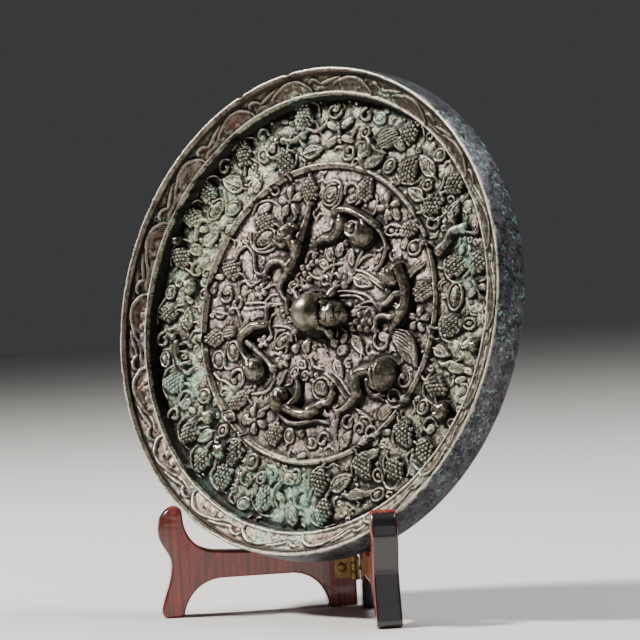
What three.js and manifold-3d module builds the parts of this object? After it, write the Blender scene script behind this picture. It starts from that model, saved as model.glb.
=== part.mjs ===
// An ancient cast bronze mirror of the lion-and-grapevine type, leaning on a small folding stand
// of two hardwood boards and a brass hinge. Millimetres, +Z up; the decorated back faces -Y.
// The origin is on the table, under the middle of the whole object.
import * as THREE from 'three';
import { mergeVertices } from 'three/addons/utils/BufferGeometryUtils.js';
import Module from 'manifold-3d';

const wasm = await Module();
wasm.setup();
const rad = THREE.MathUtils.degToRad;

// ---- driving dimensions: the mirror, in its own frame (x right, y up, z out of the decorated back) ----
const RIM_RADIUS = 85;          // at the sharp front edge
const FACE_RADIUS = 86.4;       // at the polished face, where the side flares out
const RIM_HEIGHT = 13.4;        // front edge to the edge of the polished face
const FACE_CROWN = 1;           // the polished face is slightly convex
const BAND_INNER = 77;          // inner edge of the sloping border band
const BAND_DROP = 5.2;          // how far the band falls from the rim to that edge
const OUTER_GROUND = -9.6;      // floor of the outer field, below the rim
const INNER_GROUND = -10;       // floor of the inner field
const RIDGE_RADIUS = 52.4;      // the thin ring between the two fields
const RIDGE_TOP = -7.5;
const ROOT = 0.8;               // how deep a relief shape is sunk in its ground
const LATHE_SIDES = 72;
const SCROLL_LOBES = 18;        // arches of the cloud scroll on the border band
const SCROLL_START = 9;         // degrees, where the first arch begins

// ---- driving dimensions: the stand ----
const LEAN = 11;                // degrees, how far the mirror leans back
const STAND_OPENING = 87;       // degrees between the two boards
const BOARD = 8.6;              // thickness
const BOARD_EDGE = 0.7;         // bevel along every edge of a board
const BOARD_BACK = 0.6;         // hinge corner to the back edge of a board
const REACH = 70.1;             // hinge corner to the front of foot and hook
const HOOK_TOP = 38.7;
const HOOK_INNER = 61;          // the face of the hook that stops the mirror
const BEAM_TOP = 22.5;
const BEAM_UNDER = 12.9;
const REST_TOP = 21.8;          // where the mirror's lower edge sits
const FOOT_INNER = 62.2;
const REAR_FOOT = 10.9;         // width of the foot under the hinge corner
const UPRIGHT_TOP = 87;
const MIRROR_FRONT = 24.7;      // the middle of the front rim is this far in front of the hinge corner
const MIRROR_HEIGHT = 105.7;    // and this far above the table
const GAP = 0.3;                // clearance where two pieces touch

// ---- driving dimensions: the hinge ----
const HINGE_FOOT = 9.2;
const HINGE_LENGTH = 9.3;
const LEAF_NEAR = 3.2;          // leaf, measured along the board from the hinge corner
const LEAF_FAR = 8.8;
const LEAF = 0.8;               // thickness
const BARREL = 1.3;             // outer radius of the knuckles
const PIN = 0.5;
const SCREW_HEAD = 1.55;
const SCREW_SHANK = 0.75;
const SCREW_LENGTH = 5;

// ---- solids in and out of the boolean library ----
function solid(geometry) {
  const bare = geometry.index ? geometry.toNonIndexed() : geometry.clone();
  bare.deleteAttribute('normal');
  bare.deleteAttribute('uv');
  const merged = mergeVertices(bare, 1e-4);
  return new wasm.Manifold(new wasm.Mesh({
    numProp: 3,
    vertProperties: new Float32Array(merged.attributes.position.array),
    triVerts: new Uint32Array(merged.index.array),
  })).asOriginal();
}

function geometryOf(body) {
  const { vertProperties, triVerts, numProp } = body.getMesh();
  const geometry = new THREE.BufferGeometry();
  const position = new Float32Array((vertProperties.length / numProp) * 3);
  for (let i = 0; i < position.length / 3; i++) {
    for (let k = 0; k < 3; k++) position[3 * i + k] = vertProperties[numProp * i + k];
  }
  geometry.setAttribute('position', new THREE.BufferAttribute(position, 3));
  geometry.setIndex(new THREE.BufferAttribute(new Uint32Array(triVerts), 1));
  geometry.computeVertexNormals();
  return geometry;
}

function joined(base, parts) {
  return parts.reduce((sum, part) => sum.add(solid(part)), base);
}

const polar = (angle, radius) => [radius * Math.cos(rad(angle)), radius * Math.sin(rad(angle))];

// ---- relief shapes; each one is sunk in the ground, so that only its upper part stands proud ----

// a low dome: length along turn (degrees), width across it; taper narrows the end that turn points to
function dome(x, y, ground, length, width, height, turn = 0, sides = 8, taper = 0) {
  const g = new THREE.SphereGeometry(1, sides, 4).rotateX(Math.PI / 2);
  const place = g.attributes.position;
  for (let i = 0; i < place.count; i++) {
    const narrow = 1 - taper * place.getX(i);
    place.setXYZ(i, place.getX(i) * length / 2, place.getY(i) * narrow * width / 2,
      Math.max(place.getZ(i) * height, -ROOT));
  }
  return g.rotateZ(rad(turn)).translate(x, y, ground);
}

// a limb or body: a round bar drawn along a curve through the points, thin at its ends
function limb(points, ground, width, height, steps = 8, sides = 6) {
  const curve = new THREE.CatmullRomCurve3(points.map(([x, y]) => new THREE.Vector3(x, y, 0)));
  const bar = new THREE.CylinderGeometry(1, 1, 1, sides, steps);
  const place = bar.attributes.position;
  for (let i = 0; i < place.count; i++) {
    const t = THREE.MathUtils.clamp(place.getY(i) + 0.5, 0, 1);
    const at = curve.getPoint(t);
    const along = curve.getTangent(t);
    const swell = 0.4 + 0.6 * Math.sqrt(Math.sin(Math.PI * t));
    const across = place.getX(i) * swell * width / 2;
    place.setXYZ(i, at.x + along.y * across, at.y - along.x * across,
      ground + Math.max(place.getZ(i) * swell * height, -ROOT));
  }
  return bar;
}

// a bunch of grapes: a dome that narrows to its tip, which points outwards
function grapes(angle, radius, ground, length = 10.5) {
  return [dome(...polar(angle, radius), ground, length, length * 0.8, 2.2, angle, 8, 0.25)];
}

// a bird: body, head and two wings, flying along turn
function bird(angle, radius, ground, turn) {
  const [x, y] = polar(angle, radius);
  const [fx, fy] = polar(turn, 4.2);
  return [dome(x, y, ground, 10, 3.4, 2, turn, 6), dome(x + fx, y + fy, ground, 2.8, 2.6, 2.1, turn, 6),
    dome(x - fx * 0.2, y - fy * 0.2, ground, 3.6, 8.6, 1.4, turn + 20, 6)];
}

function leaf(angle, radius, ground, size, turn) {
  const [x, y] = polar(angle, radius);
  return [dome(x, y, ground, size, size * 0.6, 1.1, turn, 6)];
}

// ---- the disc itself ----
function disc() {
  const wall = FACE_RADIUS - RIM_RADIUS;
  const profile = [
    [0, INNER_GROUND], [RIDGE_RADIUS - 2.2, INNER_GROUND],
    [RIDGE_RADIUS - 0.5, RIDGE_TOP], [RIDGE_RADIUS + 0.5, RIDGE_TOP], [RIDGE_RADIUS + 2.4, OUTER_GROUND],
    [BAND_INNER - 1.5, OUTER_GROUND], [BAND_INNER - 0.4, -BAND_DROP + 0.1], [BAND_INNER + 0.6, -BAND_DROP + 0.3],
    [RIM_RADIUS - 2.2, -1.9], [RIM_RADIUS - 0.9, -0.2], [RIM_RADIUS, 0],
    [RIM_RADIUS + wall * 0.35, -1.6], [FACE_RADIUS, 1 - RIM_HEIGHT], [FACE_RADIUS - 0.3, -RIM_HEIGHT],
    [FACE_RADIUS * 0.6, -RIM_HEIGHT - FACE_CROWN * 0.64], [0, -RIM_HEIGHT - FACE_CROWN],
  ];
  const outline = profile.map(([r, z]) => new THREE.Vector2(r, z)).reverse();
  return new THREE.LatheGeometry(outline, LATHE_SIDES).rotateX(Math.PI / 2);
}

// the raised line of the border: one arch after another, its cusps at the band's inner edge
function scroll() {
  const steps = SCROLL_LOBES * 6;
  const ring = new THREE.TorusGeometry(BAND_INNER, 1, 4, steps);
  const place = ring.attributes.position;
  const slope = BAND_DROP / (RIM_RADIUS - BAND_INNER);
  for (let i = 0; i < place.count; i++) {
    const angle = Math.atan2(place.getY(i), place.getX(i));
    const side = Math.hypot(place.getX(i), place.getY(i)) - BAND_INNER;
    const phase = SCROLL_LOBES / 2 * (angle - rad(SCROLL_START));
    const r = BAND_INNER + 1.7 + 2.8 * Math.sqrt(Math.abs(Math.sin(phase)));
    const z = slope * (r - RIM_RADIUS) + place.getZ(i) * 0.75;
    place.setXYZ(i, (r + 0.65 * side) * Math.cos(angle), (r + 0.65 * side) * Math.sin(angle), z);
  }
  return ring;
}

// ---- the figures, by angle (degrees, from +x) and radius, or by x and y for the beasts ----
const INNER_GRAPES = [[99, 44.5], [66, 47], [130, 44], [36, 46], [158, 44], [7, 46.5], [188, 44.5],
  [221, 45.5], [250, 45], [315, 46]];
const OUTER_GRAPES = [[99, 70], [123, 70], [140, 71], [161, 69.5], [178, 70], [200, 69], [217, 69],
  [227, 70.5], [237, 68.5], [236, 59], [255, 67.5], [277, 59.5], [278, 69.5], [296, 60], [306, 68],
  [315, 60.5], [317, 71], [334, 61], [354, 60], [13, 62], [12, 71], [36, 60.5], [36, 71.5], [52, 61],
  [59, 71.5]];
const OUTER_BIRDS = [[66, 64, 200], [85, 63, 170], [342, 65, 160], [290, 67.5, 190], [105, 64, 30],
  [192, 65, 100], [24, 63, 20]];
const OUTER_BOSSES = [[169, 61, 6.5], [218, 58.5, 5.5], [231, 62, 6], [329, 68, 6.5], [349, 72, 4.5]];
const LEAVES = [[142, 63, 8, 60], [136, 59, 7, 20], [95, 58.5, 8, 10], [61, 60, 6, 40], [46, 66, 9, 130],
  [3, 62, 9, 0], [207, 65, 8, 0], [246, 59, 7, 60], [285, 62, 9, 30], [265, 63, 8, 100], [180, 61, 8, 90]];
const INNER_LEAVES = [[136, 37.5, 9, 150], [345, 41, 13, 150], [87, 43, 7, 90], [158, 28, 6, 20],
  [352, 22, 9, 30], [317, 20, 8, 130], [84, 23, 8, 60], [259, 22, 8, 80], [218, 19, 8, 30], [29, 44.5, 5, 0],
  [294, 43, 8, 60]];
const FLOWERS = [[112, 44], [235, 45.5], [51, 46], [356, 45.5]];

// each beast: a round head, then curves for its body, legs and tail with their widths and heights
const BEASTS = [
  { head: [-13.8, 28.3, 9.5], body: [[-11.5, 25.5], [-11.5, 21], [-13.3, 15]],
    limbs: [[[-9, 27], [-7, 31], [-5.8, 38]], [[-14, 16.5], [-20, 19.4], [-24, 16.5], [-30, 14.8]],
      [[-14, 15.5], [-17.2, 10], [-14, 5], [-13.3, 1]]] },
  { head: [16, 27.2, 11], body: [[5.5, 30], [9.5, 34], [15.5, 33.5], [22, 29.5]],
    limbs: [[[-3.5, 24], [2, 26.6], [7, 31]], [[21.5, 30], [27, 25.5], [29.5, 20.5], [26.5, 15.5]]] },
  { head: [33, 11.5, 9.2], body: [[36.5, 13.5], [38.7, 7.5], [38, 1.5], [34.3, -6.8]],
    limbs: [[[37, 5], [32.5, 3], [29, 1]], [[36, -1.5], [30, -2.3], [27.6, -7]]] },
  { head: [31, -22.5, 11.2], body: [[28, -22], [22, -22.3], [19, -27], [19, -31]],
    limbs: [[[19.5, -28], [18.3, -32], [14.3, -34]], [[29, -25], [29, -28.5], [26, -30.5]]] },
  { head: [-13, -31, 9], body: [[-11, -31], [-6.5, -32.8], [-2.5, -35.5], [3.5, -35.3]],
    limbs: [[[1.5, -34.5], [6, -32.3], [9.3, -31], [10, -26.5]], [[-14.5, -35], [-8, -39.2], [1, -40.3], [8.5, -40.2]],
      [[-7.5, -31], [-6.2, -26], [-6, -21.5]]] },
  { head: [-26.8, -19.2, 8.8], body: [[-22.5, -1], [-28.5, -4.3], [-32.4, -8.5], [-28.3, -15]],
    limbs: [[[-29, -10.5], [-24, -14], [-18.3, -19]], [[-22, 1.5], [-22.6, -2], [-27, -4.3]]] },
];

function beast({ head, body, limbs }) {
  const [x, y, size] = head;
  return [dome(x, y, INNER_GROUND, size * 1.05, size * 1.05, 4.8, 0, 8), limb(body, INNER_GROUND, 6.4, 4.1),
    ...limbs.map((points) => limb(points, INNER_GROUND, 3.2, 2.6, 5))];
}

// the pierced knob in the middle: a crouching beast, its haunch behind its lowered head
function knob() {
  const feet = [[-8, 5.5], [-8, -5.5], [6.5, 6], [7, -7]];
  return [dome(-0.8, 0, INNER_GROUND, 17, 15.4, 9, 0, 12), dome(9, -0.8, INNER_GROUND, 10.5, 9.8, 7.2, 0, 10),
    dome(13, -1.6, INNER_GROUND, 4.6, 5.6, 5, 0, 8),
    ...feet.map(([x, y]) => dome(x, y, INNER_GROUND, 6, 3.6, 2.8, 0, 6))];
}

function flower(angle, radius) {
  const [x, y] = polar(angle, radius);
  return [0, 120, 240].map((turn) => {
    const [dx, dy] = polar(turn + angle, 2);
    return dome(x + dx, y + dy, INNER_GROUND, 4, 2.8, 1.2, turn + angle, 6);
  });
}

// the cord hole through the knob, across its body
function cordHole() {
  return new THREE.CylinderGeometry(1.6, 1.6, 30, 8).translate(1.5, 0, INNER_GROUND + 2.6);
}

function mirrorGeometry() {
  const reliefs = [scroll(), ...knob(), ...BEASTS.flatMap(beast),
    ...INNER_GRAPES.flatMap(([a, r]) => grapes(a, r, INNER_GROUND, 9.5)),
    ...OUTER_GRAPES.flatMap(([a, r]) => grapes(a, r, OUTER_GROUND)),
    ...OUTER_BIRDS.flatMap(([a, r, turn]) => bird(a, r, OUTER_GROUND, turn)),
    ...OUTER_BOSSES.map(([a, r, size]) => dome(...polar(a, r), OUTER_GROUND, size, size, 3.4)),
    ...LEAVES.flatMap(([a, r, size, turn]) => leaf(a, r, OUTER_GROUND, size, turn)),
    ...INNER_LEAVES.flatMap(([a, r, size, turn]) => leaf(a, r, INNER_GROUND, size, turn)),
    ...FLOWERS.flatMap(([a, r]) => flower(a, r))];
  return geometryOf(joined(solid(disc()), reliefs).subtract(solid(cordHole())).asOriginal().simplify(0.05));
}

// ---- the stand: each board is drawn in its own plane, r along the table and z up ----
const half = rad(STAND_OPENING / 2);
const lean = rad(LEAN);

// r of the upright's front edge at height z: just clear of the mirror's polished face
function uprightFront(z) {
  const face = (RIM_HEIGHT + FACE_CROWN) / Math.cos(lean);
  const behind = MIRROR_FRONT - face + (MIRROR_HEIGHT - z) * Math.tan(lean);
  return behind / Math.cos(half) - GAP / Math.cos(half);
}

function boardOutline() {
  const s = new THREE.Shape();
  s.moveTo(BOARD_BACK, 0);
  s.lineTo(REAR_FOOT, 0);
  s.bezierCurveTo(REAR_FOOT + 0.3, 6, REAR_FOOT + 4.6, BEAM_UNDER, REAR_FOOT + 13, BEAM_UNDER);
  s.lineTo(FOOT_INNER - 14.5, BEAM_UNDER);
  s.bezierCurveTo(FOOT_INNER - 5.5, BEAM_UNDER, FOOT_INNER - 1, 6, FOOT_INNER, 0);
  s.lineTo(REACH - 2.2, 0);
  s.quadraticCurveTo(REACH, 0, REACH, 2.6);
  s.bezierCurveTo(REACH - 1, 8, REACH - 4.1, 12, REACH - 4.1, 19);
  s.bezierCurveTo(REACH - 4.1, 23, REACH, 25.5, REACH, 30.2);
  s.bezierCurveTo(REACH, 34.5, HOOK_INNER + 5.8, HOOK_TOP, HOOK_INNER + 2.4, HOOK_TOP);
  s.bezierCurveTo(HOOK_INNER + 0.4, HOOK_TOP, HOOK_INNER, HOOK_TOP - 1.5, HOOK_INNER, HOOK_TOP - 3.6);
  s.bezierCurveTo(HOOK_INNER - 0.4, 26.5, HOOK_INNER - 6, BEAM_TOP, HOOK_INNER - 12, BEAM_TOP - 0.1);
  s.lineTo(uprightFront(REST_TOP) + 4, REST_TOP);
  s.lineTo(uprightFront(REST_TOP + 1.5) + 0.2, REST_TOP);
  s.lineTo(uprightFront(UPRIGHT_TOP - 5), UPRIGHT_TOP - 5);
  s.bezierCurveTo(uprightFront(UPRIGHT_TOP), UPRIGHT_TOP, 10, UPRIGHT_TOP, BOARD_BACK + 5, UPRIGHT_TOP - 3);
  s.quadraticCurveTo(BOARD_BACK, UPRIGHT_TOP - 6, BOARD_BACK, UPRIGHT_TOP - 11);
  s.closePath();
  return s;
}

// side is -1 for the left board and 1 for the right one; a board's inner face is its local z = 0
function boardGeometry(side) {
  const g = new THREE.ExtrudeGeometry(boardOutline(), {
    depth: BOARD - 2 * BOARD_EDGE, curveSegments: 4,
    bevelEnabled: true, bevelThickness: BOARD_EDGE, bevelSize: BOARD_EDGE,
    bevelOffset: -BOARD_EDGE, bevelSegments: 1,
  }).translate(0, 0, BOARD_EDGE);
  const screw = new THREE.CylinderGeometry(SCREW_SHANK + GAP, SCREW_SHANK + GAP, 2 * (SCREW_LENGTH + GAP), 8)
    .rotateX(Math.PI / 2).translate((LEAF_NEAR + LEAF_FAR) / 2, HINGE_FOOT + HINGE_LENGTH / 2, 0);
  return standing(geometryOf(solid(g).subtract(solid(screw))), side);
}

// takes a shape drawn in a board's plane (x = r, y = z, z = thickness outwards) to its place
function standing(geometry, side) {
  const outward = new THREE.Vector3(side * Math.cos(half), Math.sin(half), 0);
  const along = new THREE.Vector3(side * Math.sin(half), -Math.cos(half), 0);
  const place = new THREE.Matrix4().makeBasis(along, new THREE.Vector3(0, 0, 1), outward);
  const g = geometry.applyMatrix4(place);
  if (place.determinant() < 0) {
    const index = g.index.array;
    for (let i = 0; i < index.length; i += 3) [index[i], index[i + 1]] = [index[i + 1], index[i]];
  }
  return g;
}

// ---- the hinge ----
const barrelBehind = (BARREL + GAP) / Math.sin(half);   // how far in front of the corner the pin stands
const knuckle = (HINGE_LENGTH - 2 * GAP) / 3;

function tube(foot, length) {
  const outline = [[PIN + GAP, 0], [BARREL, 0], [BARREL, length], [PIN + GAP, length], [PIN + GAP, 0]];
  return new THREE.LatheGeometry(outline.map(([r, z]) => new THREE.Vector2(r, z)), 12)
    .rotateX(Math.PI / 2).translate(0, -barrelBehind, foot);
}

function leafGeometry(side) {
  const plate = new THREE.Shape([[LEAF_NEAR - 1.6, HINGE_FOOT + 0.8], [LEAF_FAR, HINGE_FOOT + 0.8],
    [LEAF_FAR, HINGE_FOOT + HINGE_LENGTH - 0.8], [LEAF_NEAR - 1.6, HINGE_FOOT + HINGE_LENGTH - 0.8]]
    .map(([r, z]) => new THREE.Vector2(r, z)));
  const g = new THREE.ExtrudeGeometry(plate, { depth: LEAF, bevelEnabled: false }).translate(0, 0, -GAP - LEAF);
  const hole = new THREE.CylinderGeometry(SCREW_HEAD + GAP, SCREW_HEAD + GAP, 4, 10).rotateX(Math.PI / 2)
    .translate((LEAF_NEAR + LEAF_FAR) / 2, HINGE_FOOT + HINGE_LENGTH / 2, 0);
  let body = solid(standing(geometryOf(solid(g).subtract(solid(hole))), side));
  // the middle knuckle belongs to the right leaf and the outer two to the left one
  const own = side > 0 ? [1] : [0, 2];
  const others = side > 0 ? [0, 2] : [1];
  for (const n of others) {
    const room = new THREE.CylinderGeometry(BARREL + GAP, BARREL + GAP, knuckle + 2 * GAP, 12)
      .rotateX(Math.PI / 2).translate(0, -barrelBehind, HINGE_FOOT + n * (knuckle + GAP) + knuckle / 2);
    body = body.subtract(solid(room));
  }
  const bore = new THREE.CylinderGeometry(PIN + GAP, PIN + GAP, 3 * HINGE_LENGTH, 12).rotateX(Math.PI / 2)
    .translate(0, -barrelBehind, HINGE_FOOT);
  for (const n of own) body = body.add(solid(tube(HINGE_FOOT + n * (knuckle + GAP), knuckle)));
  return geometryOf(body.subtract(solid(bore)));
}

function pinGeometry() {
  return new THREE.CylinderGeometry(PIN, PIN, HINGE_LENGTH + 0.6, 12).rotateX(Math.PI / 2)
    .translate(0, -barrelBehind, HINGE_FOOT + HINGE_LENGTH / 2);
}

function screwGeometry(side) {
  const outline = [[0, -SCREW_LENGTH], [SCREW_SHANK * 0.6, -SCREW_LENGTH], [SCREW_SHANK, 1 - SCREW_LENGTH],
    [SCREW_SHANK, -0.1], [SCREW_SHANK, GAP], [SCREW_HEAD, GAP + LEAF - 0.1], [SCREW_HEAD * 0.8, GAP + LEAF + 0.2],
    [0, GAP + LEAF + 0.3]];
  const g = new THREE.LatheGeometry(outline.map(([r, z]) => new THREE.Vector2(r, z)), 8)
    .rotateX(-Math.PI / 2).translate((LEAF_NEAR + LEAF_FAR) / 2, HINGE_FOOT + HINGE_LENGTH / 2, 0);
  return standing(mergeVertices(g), side);
}

// ---- materials ----
const bronze = () => new THREE.MeshStandardMaterial({ color: 0x6b5d50, roughness: 0.5, metalness: 0.8 });
const wood = () => new THREE.MeshStandardMaterial({ color: 0x6e1e12, roughness: 0.25, metalness: 0 });
const brass = () => new THREE.MeshStandardMaterial({ color: 0xb08a42, roughness: 0.4, metalness: 1 });

function mesh(name, geometry, material) {
  const m = new THREE.Mesh(geometry, material);
  m.name = name;
  return m;
}

// ---- the object ----
const group = new THREE.Group();

// everything is placed from the hinge corner, which stands this far behind the middle of the object
const frontmost = REACH * Math.cos(half);
const rearmost = BOARD * Math.sin(half) - BOARD_BACK * Math.cos(half);
const fromHinge = new THREE.Group();
fromHinge.position.y = (frontmost - rearmost) / 2;
group.add(fromHinge);

const mirror = mesh('bronze_mirror', mirrorGeometry(), bronze());
mirror.rotation.x = Math.PI / 2 - lean;
mirror.position.set(0, -MIRROR_FRONT, MIRROR_HEIGHT);
fromHinge.add(mirror);

for (const [name, side] of [['left', -1], ['right', 1]]) {
  fromHinge.add(mesh(`stand_board_${name}`, boardGeometry(side), wood()));
  fromHinge.add(mesh(`hinge_leaf_${name}`, leafGeometry(side), brass()));
  fromHinge.add(mesh(`hinge_screw_${name}`, screwGeometry(side), brass()));
}
fromHinge.add(mesh('hinge_pin', pinGeometry(), brass()));

export default group;
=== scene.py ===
"""An ancient bronze mirror of the lion-and-grapevine type on its small folding stand.

The mirror's relief is worked out as a height map in millimetres, in the mirror's own frame: x to the
right, y up, and heights out of the decorated back.  Angles go round from +x towards +y, in degrees.
The map then lifts a fine mesh, and the same map says where the bronze is rubbed, dirty or green, and where
shade and highlights are painted into its colour.
"""
import math

import bmesh
import bpy
import numpy as np
from mathutils import Matrix, Vector


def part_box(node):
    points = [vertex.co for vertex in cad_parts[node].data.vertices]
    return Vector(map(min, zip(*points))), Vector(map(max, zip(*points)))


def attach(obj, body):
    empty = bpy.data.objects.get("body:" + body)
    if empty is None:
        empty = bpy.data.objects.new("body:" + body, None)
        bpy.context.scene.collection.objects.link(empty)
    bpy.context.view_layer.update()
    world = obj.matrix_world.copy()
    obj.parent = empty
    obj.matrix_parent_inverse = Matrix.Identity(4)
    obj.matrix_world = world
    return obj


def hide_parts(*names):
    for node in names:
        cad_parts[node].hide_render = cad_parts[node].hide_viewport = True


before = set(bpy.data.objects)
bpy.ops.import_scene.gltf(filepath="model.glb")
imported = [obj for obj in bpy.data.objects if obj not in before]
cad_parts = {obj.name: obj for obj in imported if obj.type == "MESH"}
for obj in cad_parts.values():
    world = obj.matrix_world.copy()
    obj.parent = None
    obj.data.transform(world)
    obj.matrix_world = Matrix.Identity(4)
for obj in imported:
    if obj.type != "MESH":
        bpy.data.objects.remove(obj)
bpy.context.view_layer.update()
MM = 0.001

# ---- the mirror's main sizes, in millimetres ----
RIM_RADIUS = 85
FACE_RADIUS = 86.38
RIM_HEIGHT = 13.4
FACE_CROWN = 1       # how far the polished face swells
BAND_INNER = 77
BAND_DROP = 5.2
OUTER_GROUND = -9.6
INNER_GROUND = -10
RIDGE_RADIUS = 52.4
RIDGE_TOP = -8.0
BAND_END = 84.3      # where the sloping band meets the flat of the rim
ARCHES = 18          # of the band's scroll
ARCH_PITCH = 360 / ARCHES
FIRST_ARCH = 13.6
INNER_FIELD = (11, 50.4)
OUTER_FIELD = (53.8, 75.2)
SMALL_TRIES = 2300
BARE = 0.12          # lower than this counts as floor
MIDDLE = 65          # of the outer field
SHOOTS = 26          # of the main stem there
LEAN = math.radians(11)
MIRROR_TRIANGLES = 190_000
HOLE_RADIUS = 1.6    # the cord hole through the knob
HOLE_X = 1.5
HOLE_HEIGHT = 2.6    # its middle above the inner floor
HOLE_LENGTH = 19

# ---- the stand's main sizes ----
HALF_OPENING = math.radians(87 / 2)
BOARD = 8.6
BOARD_BACK = 0.6
REACH = 70.1
HOOK_TOP = 38.7
HOOK_INNER = 61
BEAM_TOP = 22.5
BEAM_UNDER = 12.9
REST_TOP = 21.8
FOOT_INNER = 62.2
REAR_FOOT = 10.9
UPRIGHT_TOP = 87
GAP = 0.3
BOARD_EDGE = 0.7
TRIM = 0.28          # the boards' rounded ends are worn back by this much

# ---- the hinge's ----
HINGE_FOOT = 9.2
HINGE_LENGTH = 9.3
LEAF_NEAR = 3.2
LEAF_FAR = 8.8
LEAF = 0.8
BARREL = 1.3
PIN = 0.5
SCREW_HEAD = 1.55

# ---- where the frame puts them ----
mirror_low, mirror_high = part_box("bronze_mirror")
board_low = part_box("stand_board_left")[0]
SHOULDER, SHOULDER_DROP = RIM_RADIUS + 0.49, 1.6    # where the rim stands highest when the mirror leans
RIM_TOP = SHOULDER * math.cos(LEAN) - SHOULDER_DROP * math.sin(LEAN)
MIRROR_CENTRE = Vector((0, mirror_low.y / MM + RIM_RADIUS * math.sin(LEAN), mirror_high.z / MM - RIM_TOP))
HINGE_Y = board_low.y / MM + REACH * math.cos(HALF_OPENING) - BOARD_EDGE * math.sin(HALF_OPENING)


# ======================================================================================
# The height map
# ======================================================================================
CELL = 0.15
EXTENT = 87.0
AXIS = np.arange(-EXTENT, EXTENT + CELL, CELL)
CELLS = len(AXIS)
SEED = 7
random = np.random.RandomState(SEED)


def polar(angle, radius):
    return radius * math.cos(math.radians(angle)), radius * math.sin(math.radians(angle))


def arc(*places):
    """Points given by angle and radius."""
    return [polar(*place) for place in places]


def noise(size):
    """Smooth noise of unit spread over the map, its lumps about size millimetres across."""
    spectrum = np.fft.rfft2(random.standard_normal((CELLS, CELLS)))
    return scaled(np.fft.irfft2(spectrum * low_pass(size / 2.5), s=(CELLS, CELLS)))


def low_pass(sigma):
    fy = np.fft.fftfreq(CELLS, CELL)[:, None]
    fx = np.fft.rfftfreq(CELLS, CELL)[None, :]
    return np.exp(-2 * (math.pi * sigma) ** 2 * (fx ** 2 + fy ** 2))


def scaled(field):
    return field / field.std()


def blurred(field, sigma):
    return np.fft.irfft2(np.fft.rfft2(field) * low_pass(sigma), s=(CELLS, CELLS))


def smooth_path(points, closed=False, step=0.4):
    """Points on a Catmull-Rom curve through the given ones, step apart, and where each lies among them."""
    p = np.array(points, float)
    before = p[-1:] if closed else 2 * p[:1] - p[1:2]
    after = p[:2] if closed else 2 * p[-1:] - p[-2:-1]
    q = np.concatenate([before, p, after])
    out, at = [], []
    for k, (a, b, c, d) in enumerate(zip(q[:-3], q[1:-2], q[2:-1], q[3:])):
        n = max(2, int(np.hypot(*(c - b)) / step))
        for t in np.arange(n) / n:
            out.append(0.5 * (2 * b + (c - a) * t + (2 * a - 5 * b + 4 * c - d) * t * t
                              + (3 * b - a - 3 * c + d) * t ** 3))
            at.append(k + t)
    out.append(out[0] if closed else p[-1])
    at.append(len(p) - (0 if closed else 1))
    return np.array(out), np.array(at)


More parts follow.
